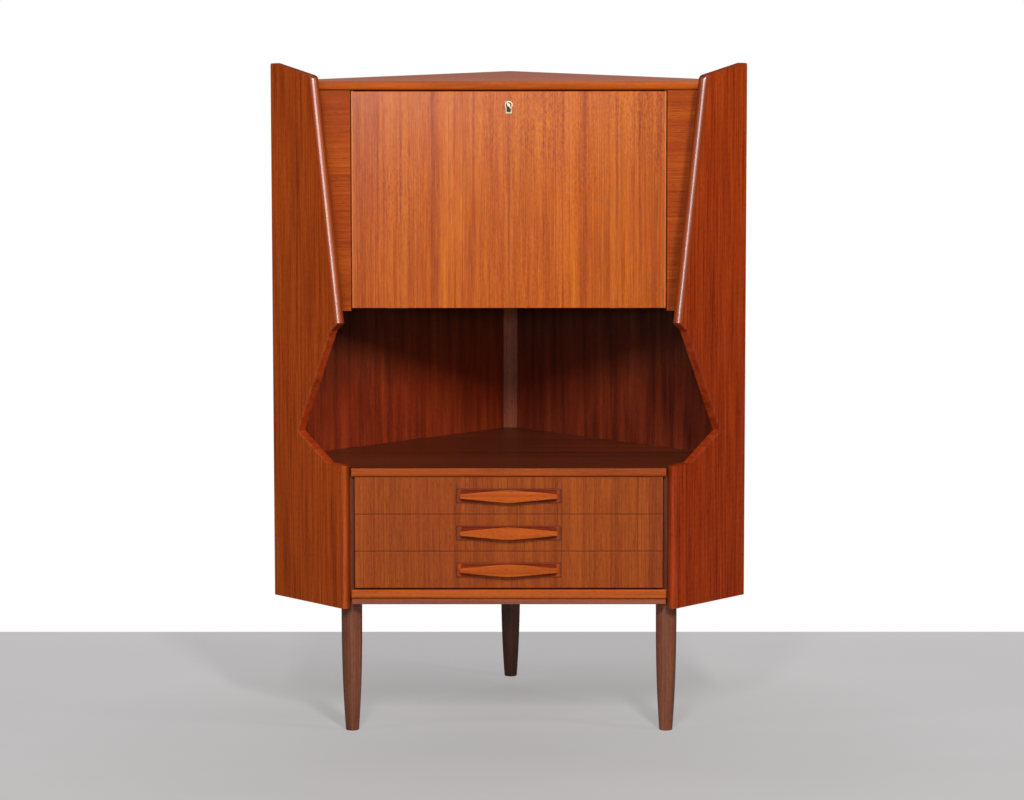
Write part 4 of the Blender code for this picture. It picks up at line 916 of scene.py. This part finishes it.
# Above 1.2 m the drop front is painted paler and bluer: a painted sheen
door_teak = wood(
    "drop_front_teak", DOOR_TONES, leaves=DOOR_LEAVES, mirrored=True, contrast=0.58,
    stripes=1.1, figure=60.0, run=3.6, fibres=1.5, fleck=1.2, fleck_zone=(0.40, 1.16),
    rough=0.23, gloss=0.38, gold=0.5, veins=0.5, edging=(DOOR_EDGE_X, (0.52, 0.15, 0.045)),
    painted_light_by_height=(1.20, 0.16, (1.05, 1.13, 2.4)),
)
stile_teak = wood(
    "stile_teak", STILE_TONES, along="x", across="z", centre=(2.0, 0.0, 0.0), rough=0.42,
    gloss=0.08, contrast=0.6, stripes=0.8, fine=1.6, run=4.0, fleck=0.1, veins=0.3, gold=0.5,
)
# The top in tones with painted sheen, and below the nosing's low edge the colour painted lighter:
# a painted highlight
top_teak = wood(
    "top_teak", TOP_SHEEN_TONES, along="x", across="y", centre=(5.0, 0.0, 0.0), rough=0.46,
    gloss=0.12, contrast=0.7, front_tones_and_shade=(TOP_NOSING_Y, NOSE_TONES),
    painted_light_by_height=(TOP_NOSING_LOW, -0.002, (1.45, 1.8, 3.0)),
)
base_teak = wood(
    "base_teak", EDGE_TONES, along="x", across="z", centre=(7.0, 0.0, 0.0), rough=0.42,
    gloss=0.25,
)
rail_teak = wood(
    "base_rail_teak", RAIL_TONES, along="x", across="z", centre=(8.0, 0.0, 0.0), rough=0.42,
    gloss=0.3,
)
drawer_teak = wood(
    "drawer_front_teak", DRAWER_TONES, leaves=DRAWER_LEAVES, centre=(0.0, 0.0, 4.0),
    contrast=0.75, stripes=0.62, fibres=1.8, figure=50.0, fleck=0.1, rough=0.42, gloss=0.12,
    veins=0.55, gold=0.3,
)
# Above 0.77 m the niche's back panels are painted darker: painted shade under the bar floor
NICHE_FIGURE = {
    "fine": 1.5, "contrast": 0.15, "stripes": 1.7, "rough": 0.46, "gloss": 0.25,
    "painted_light_by_height": (0.77, 0.20, (0.30, 0.82, 1.6)),
}
niche_teak = wood(
    "niche_back_teak", NICHE_TONES, turn=math.radians(45), centre=(1.0, 0.0, 2.0),
    lining=(-BACK_FACE, NICHE_CEILING), **NICHE_FIGURE,
)
niche_right_teak = wood(
    "niche_back_right_teak", NICHE_RIGHT_TONES, turn=math.radians(-45), centre=(4.0, 0.0, 2.0),
    lining=(BACK_FACE, NICHE_CEILING), **NICHE_FIGURE,
)
# Below the shelf nosing's low edge the colour is painted lighter: a painted highlight
shelf_teak = wood(
    "niche_shelf_teak", SHELF_AND_SHADE_TONES, along="x", across="y", centre=(9.0, 0.0, 0.0), rough=0.42,
    gloss=0.2, front_tones_and_shade=(SHELF_NOSING_Y, NOSE_TONES),
    painted_light_by_height=(SHELF_NOSING_LOW, -0.002, (1.35, 1.7, 3.0)),
)
bar_floor_teak = wood(
    "bar_floor_teak", STILE_TONES, along="x", across="y", centre=(11.0, 0.0, 0.0), rough=0.45,
    gloss=0.3,
)
carcass_teak = wood("carcass_teak", CARCASS_TONES, across="y", rough=0.52, gloss=0.25)
# The drawer cases' front edges are painted dark: painted shade
case_side_teak = wood(
    "drawer_case_teak", CARCASS_TONES, across="y", rough=0.52, gloss=0.2,
    front_tones_and_shade=(CASE_EDGE_SHADE_Y, SHELF_AND_SHADE_TONES),
)
# The front lips' inner part in darker tones: painted shade
lip_teak = wood(
    "wing_lip_teak", LIP_TONES, source="grain", rough=0.40, gloss=0.1, contrast=0.6, coat=1.0,
    bump=0.04, pores=0.3, deep_tones_and_shade=(0.0125, LIP_INNER_SHADE_TONES),
)
LEG_FIGURE = {"rough": 0.36, "gloss": 0.4, "contrast": 0.9, "stripes": 1.3}
leg_teak = wood("leg_teak", LEG_TONES, **LEG_FIGURE)
back_leg_shaded_teak = wood("back_leg_shaded_teak", BACK_LEG_SHADE_TONES, **LEG_FIGURE)
pull_teak = wood(
    "pull_teak", PULL_TONES, along="x", across="z", centre=(0.0, 0.0, 0.3), rough=0.42, gloss=0.12,
    contrast=0.7, veins=0.6,
)
# Plates: fields in painted shade, lighter rims, and a painted shadow line round the outer edge
PLATE_FIGURE = {
    "tones": FIELD_SHADE_TONES, "along": "x", "across": "z", "rough": 0.48, "gloss": 0.1,
    "contrast": 0.7, "deep_tones_and_shade": (0.0012, PLATE_SHADOW_LINE_TONES),
}
plate_teak = wood(
    "pull_plate_teak", centre=(2.0, 0.0, 0.0), front_tones_and_shade=(PLATE_FIELD_Y, PLATE_TONES),
    **PLATE_FIGURE,
)
warm_plate_teak = wood(
    "warm_plate_teak", centre=(4.0, 0.0, 0.0), front_tones_and_shade=(PLATE_FIELD_Y, WARM_PLATE_TONES),
    **PLATE_FIGURE,
)
post_teak = wood("corner_post_teak", POST_TONES, centre=(6.0, 0.0, 0.0), rough=0.46, gloss=0.2)
MAPLE_FIGURE = {
    "tones": MAPLE_TONES, "across": "z", "rough": 0.55, "gloss": 0.25, "pores": 0.1,
    "contrast": 0.6, "stripes": 0.4,
}
side_maple = wood("drawer_side_maple", along="y", **MAPLE_FIGURE)
cross_maple = wood("drawer_back_maple", along="x", **MAPLE_FIGURE)
bottom_ply = wood(
    "drawer_bottom_ply", PLY_TONES, along="x", across="y", rough=0.6, gloss=0.2, pores=0.2,
    contrast=0.8, stripes=0.5,
)
fitting_brass = metal("fitting_brass", BRASS_TONES)
# Key and liner as half metal in near-white tones: partly a painted highlight
key_brass = metal("key_brass", KEY_TONES_WITH_HIGHLIGHT, 0.42, 0.5)
lock_iron = metal("lock_iron", LOCK_TONES, 0.5)

FINISHES = {
    "wing_left": wing_left_teak,
    "wing_right": wing_right_teak,
    "top_panel": top_teak,
    "base_panel": base_teak,
    "base_rail": rail_teak,
    "niche_shelf": shelf_teak,
    "bar_floor": bar_floor_teak,
    "back_panel_left": niche_teak,
    "back_panel_right": niche_right_teak,
    "corner_post": post_teak,
    "stile_left": stile_teak,
    "stile_right": stile_teak,
    "door_panel": door_teak,
    "bar_side_left": carcass_teak,
    "bar_side_right": carcass_teak,
    "drawer_case_left": case_side_teak,
    "drawer_case_right": case_side_teak,
    "lock_case": lock_iron,
}
for number in range(1, len(DRAWER_MIDDLES) + 1):
    FINISHES[f"drawer_{number}_front"] = drawer_teak
    FINISHES[f"drawer_{number}_side_left"] = side_maple
    FINISHES[f"drawer_{number}_side_right"] = side_maple
    FINISHES[f"drawer_{number}_back"] = cross_maple
    FINISHES[f"drawer_{number}_bottom"] = bottom_ply
for name, node in nodes.items():
    for material_slot in node.material_slots:
        material_slot.material = FINISHES.get(name, fitting_brass)

# Solid lips round the wings
LIP_SIDES = (
    ("left", -1, niche_lip_left_teak, foot_lip_left_teak),
    ("right", 1, niche_lip_right_teak, foot_lip_right_teak),
)
for label, side, niche_finish, foot_finish in LIP_SIDES:
    own_finishes = {"front_lip": lip_teak, "foot_lip": foot_finish}
    for edge, lip, width in WING_LIPS:
        rings, grain = wing_lip(side, edge, width, lip == "front_lip")
        node = f"wing_{label}_{lip}"
        finish = own_finishes.get(lip, niche_finish)
        piece(f"{node}_teak", skin(rings), finish, "case", node, grain)

# Turned legs, the back one in darker tones: painted shade under the cabinet
for name, place in LEG_PLACES.items():
    finish = back_leg_shaded_teak if name == "leg_back" else leg_teak
    piece(f"{name}_turned", leg_shape(place), finish, "case", name)

# Carved pulls on their plates, the lowest plate in a warmer tone
for number, middle in enumerate(DRAWER_MIDDLES, 1):
    body = f"drawer_{number}"
    node = f"{body}_pull"
    piece(f"{node}_carved", pull_shape(middle), pull_teak, body, node)
    finish = warm_plate_teak if number == len(DRAWER_MIDDLES) else plate_teak
    shell, places = plate_shape(middle)
    piece(f"{node}_plate", shell, finish, body, grain=places)

# Key and the keyhole's liner
piece("keyhole_liner_ring", liner_shape(), key_brass, "door", "keyhole_liner")
piece("key_turned", key_shape(), key_brass, "key", "key")


# Studio
AMBIENT = 0.05
CLOUD_TONES = [(0.3, (0.42, 0.41, 0.41)), (0.7, (0.46, 0.45, 0.45))]
GLOW_TONES = [(0.0, (0.71, 0.69, 0.69)), (1.0, (1.07, 1.05, 1.06))]
GLOW_SHARE = 0.40
# Painted shadow under the cabinet in the floor's glow: its share, radius and soft edge
SHADE_SHARE = 0.24
SHADE_EDGE = 0.55
SHADE_SPREAD = 0.9
WORLD_SHARES = (("Is Camera Ray", 1.0), ("Is Glossy Ray", 0.14), ("Is Transmission Ray", 1.0))
FLOOR_HALF = 12.0
FLOOR_END = 0.847
# Middle of the painted shadow on the floor
SHADE_MIDDLE_Y = -0.45
SENSOR_WIDTH = 36.0
PHOTO_WIDTH = 1024.0
FOCAL_PIXELS = 3961.95


def studio_floor():
    """Pale floor that keeps the cabinet's shadow, with a painted shadow under the cabinet in its
    glow, and ends at the white background.
    """
    finish = Finish(bpy.data.materials.new("studio_floor"))
    x, y, z = finish.parts(place_of(finish))
    cloud = finish.noise(x * 1.2, y * 2.5, z, 3.0)
    colour = finish.ramp(cloud, CLOUD_TONES)
    lit = finish.principled(
        colour, cloud * 0.1 + 0.5, cloud, 0.02, 0.0005, Specular_IOR_Level=0.2
    )

    # Its own glow, seen by the camera alone, pales with distance, and a painted shadow dims it
    # under the cabinet
    near_to_far = finish.ramp(y * 0.4 + 0.6, GLOW_TONES)
    ahead = y - SHADE_MIDDLE_Y
    squared = x * x + ahead * ahead
    painted_floor_shadow = 1.0 - squared.reckon("SQRT", squared).above(SHADE_EDGE, SHADE_SPREAD)
    glow_colour = finish.mix(painted_floor_shadow * SHADE_SHARE, near_to_far, (0.0, 0.0, 0.0))
    glow = finish.add("ShaderNodeEmission", {}, {"Color": glow_colour})
    camera_ray = finish.add("ShaderNodeLightPath")
    mixed = finish.add("ShaderNodeMixShader", {}, {0: camera_ray * GLOW_SHARE, 1: lit, 2: glow})
    material = finish.close(mixed)

    half, end = FLOOR_HALF, FLOOR_END
    corners = [(-half, -half, 0.0), (half, -half, 0.0), (half, end, 0.0), (-half, end, 0.0)]
    mesh = bpy.data.meshes.new("floor")
    mesh.from_pydata(corners, [], [(0, 1, 2, 3)])
    mesh.materials.append(material)
    obj = bpy.data.objects.new("floor", mesh)
    bpy.context.scene.collection.objects.link(obj)


def studio_world():
    """A white background, with less light on the cabinet."""
    sheet = Finish(bpy.data.worlds.new("studio"))
    strength = AMBIENT
    for ray, share in WORLD_SHARES:
        seen = sheet.add("ShaderNodeLightPath", out=ray)
        strength = sheet.add("ShaderNodeMix", {}, {0: seen, 2: strength, 3: share})
    values = {"Color": (1.0, 1.0, 1.0, 1.0), "Strength": strength}
    background = sheet.add("ShaderNodeBackground", {}, values)
    bpy.context.scene.world = sheet.close(background, "ShaderNodeOutputWorld")


def softbox(name, place, target, width, height, power):
    """An area lamp that faces its target."""
    lamp = bpy.data.lights.new(name, "AREA")
    lamp.shape = "RECTANGLE"
    lamp.size = width
    lamp.size_y = height
    lamp.energy = power
    obj = bpy.data.objects.new(name, lamp)
    obj.location = place
    way = Vector(target) - Vector(place)
    obj.rotation_euler = way.to_track_quat("-Z", "Y").to_euler()
    bpy.context.scene.collection.objects.link(obj)
    return obj


def studio_camera():
    """The camera at the photograph's place and angle."""
    camera = bpy.data.cameras.new("camera")
    camera.sensor_fit = "HORIZONTAL"
    camera.sensor_width = SENSOR_WIDTH
    camera.lens = FOCAL_PIXELS * SENSOR_WIDTH / PHOTO_WIDTH
    camera.clip_end = 100.0
    obj = bpy.data.objects.new("camera", camera)
    right = Vector((0.999986, 0.005199, -0.001029))
    up = Vector((0.000376, 0.124097, 0.992270))
    back = Vector((0.005286, -0.992256, 0.124093))
    turn = Matrix((right, up, back)).transposed().to_4x4()
    turn.translation = Vector((0.05050, -8.48710, 1.72598))
    obj.matrix_world = turn
    bpy.context.scene.collection.objects.link(obj)
    bpy.context.scene.camera = obj


studio_floor()
studio_world()

# Lamps with place, target, width, height and watts
softbox("key_light", (1.10, -4.9, 3.75), (0.0, 0.0, 0.9), 0.5, 1.4, 192.0)
softbox("second_light", (-0.55, -5.0, 3.75), (0.0, 0.0, 0.9), 0.5, 1.4, 102.0)
softbox("sheen_light", (-0.85, -5.3, 1.60), (0.0, 0.0, 1.2), 1.6, 0.4, 52.0)
softbox("right_strip", (3.2, -1.6, 2.9), (0.42, -0.25, 1.3), 0.35, 0.6, 22.0)
softbox("left_strip", (-3.2, -1.6, 2.9), (-0.42, -0.25, 1.3), 0.35, 0.6, 14.0)

# A low lamp behind lights the rear faces, without a reflection in the floor
back_light = softbox("back_light", (0.0, 3.2, 0.08), (0.0, 0.3, 0.95), 0.8, 0.12, 20.0)
back_light.data.spread = math.radians(100)
back_light.visible_camera = False
back_light.visible_glossy = False
studio_camera()
bpy.context.scene.view_settings.view_transform = "Standard"
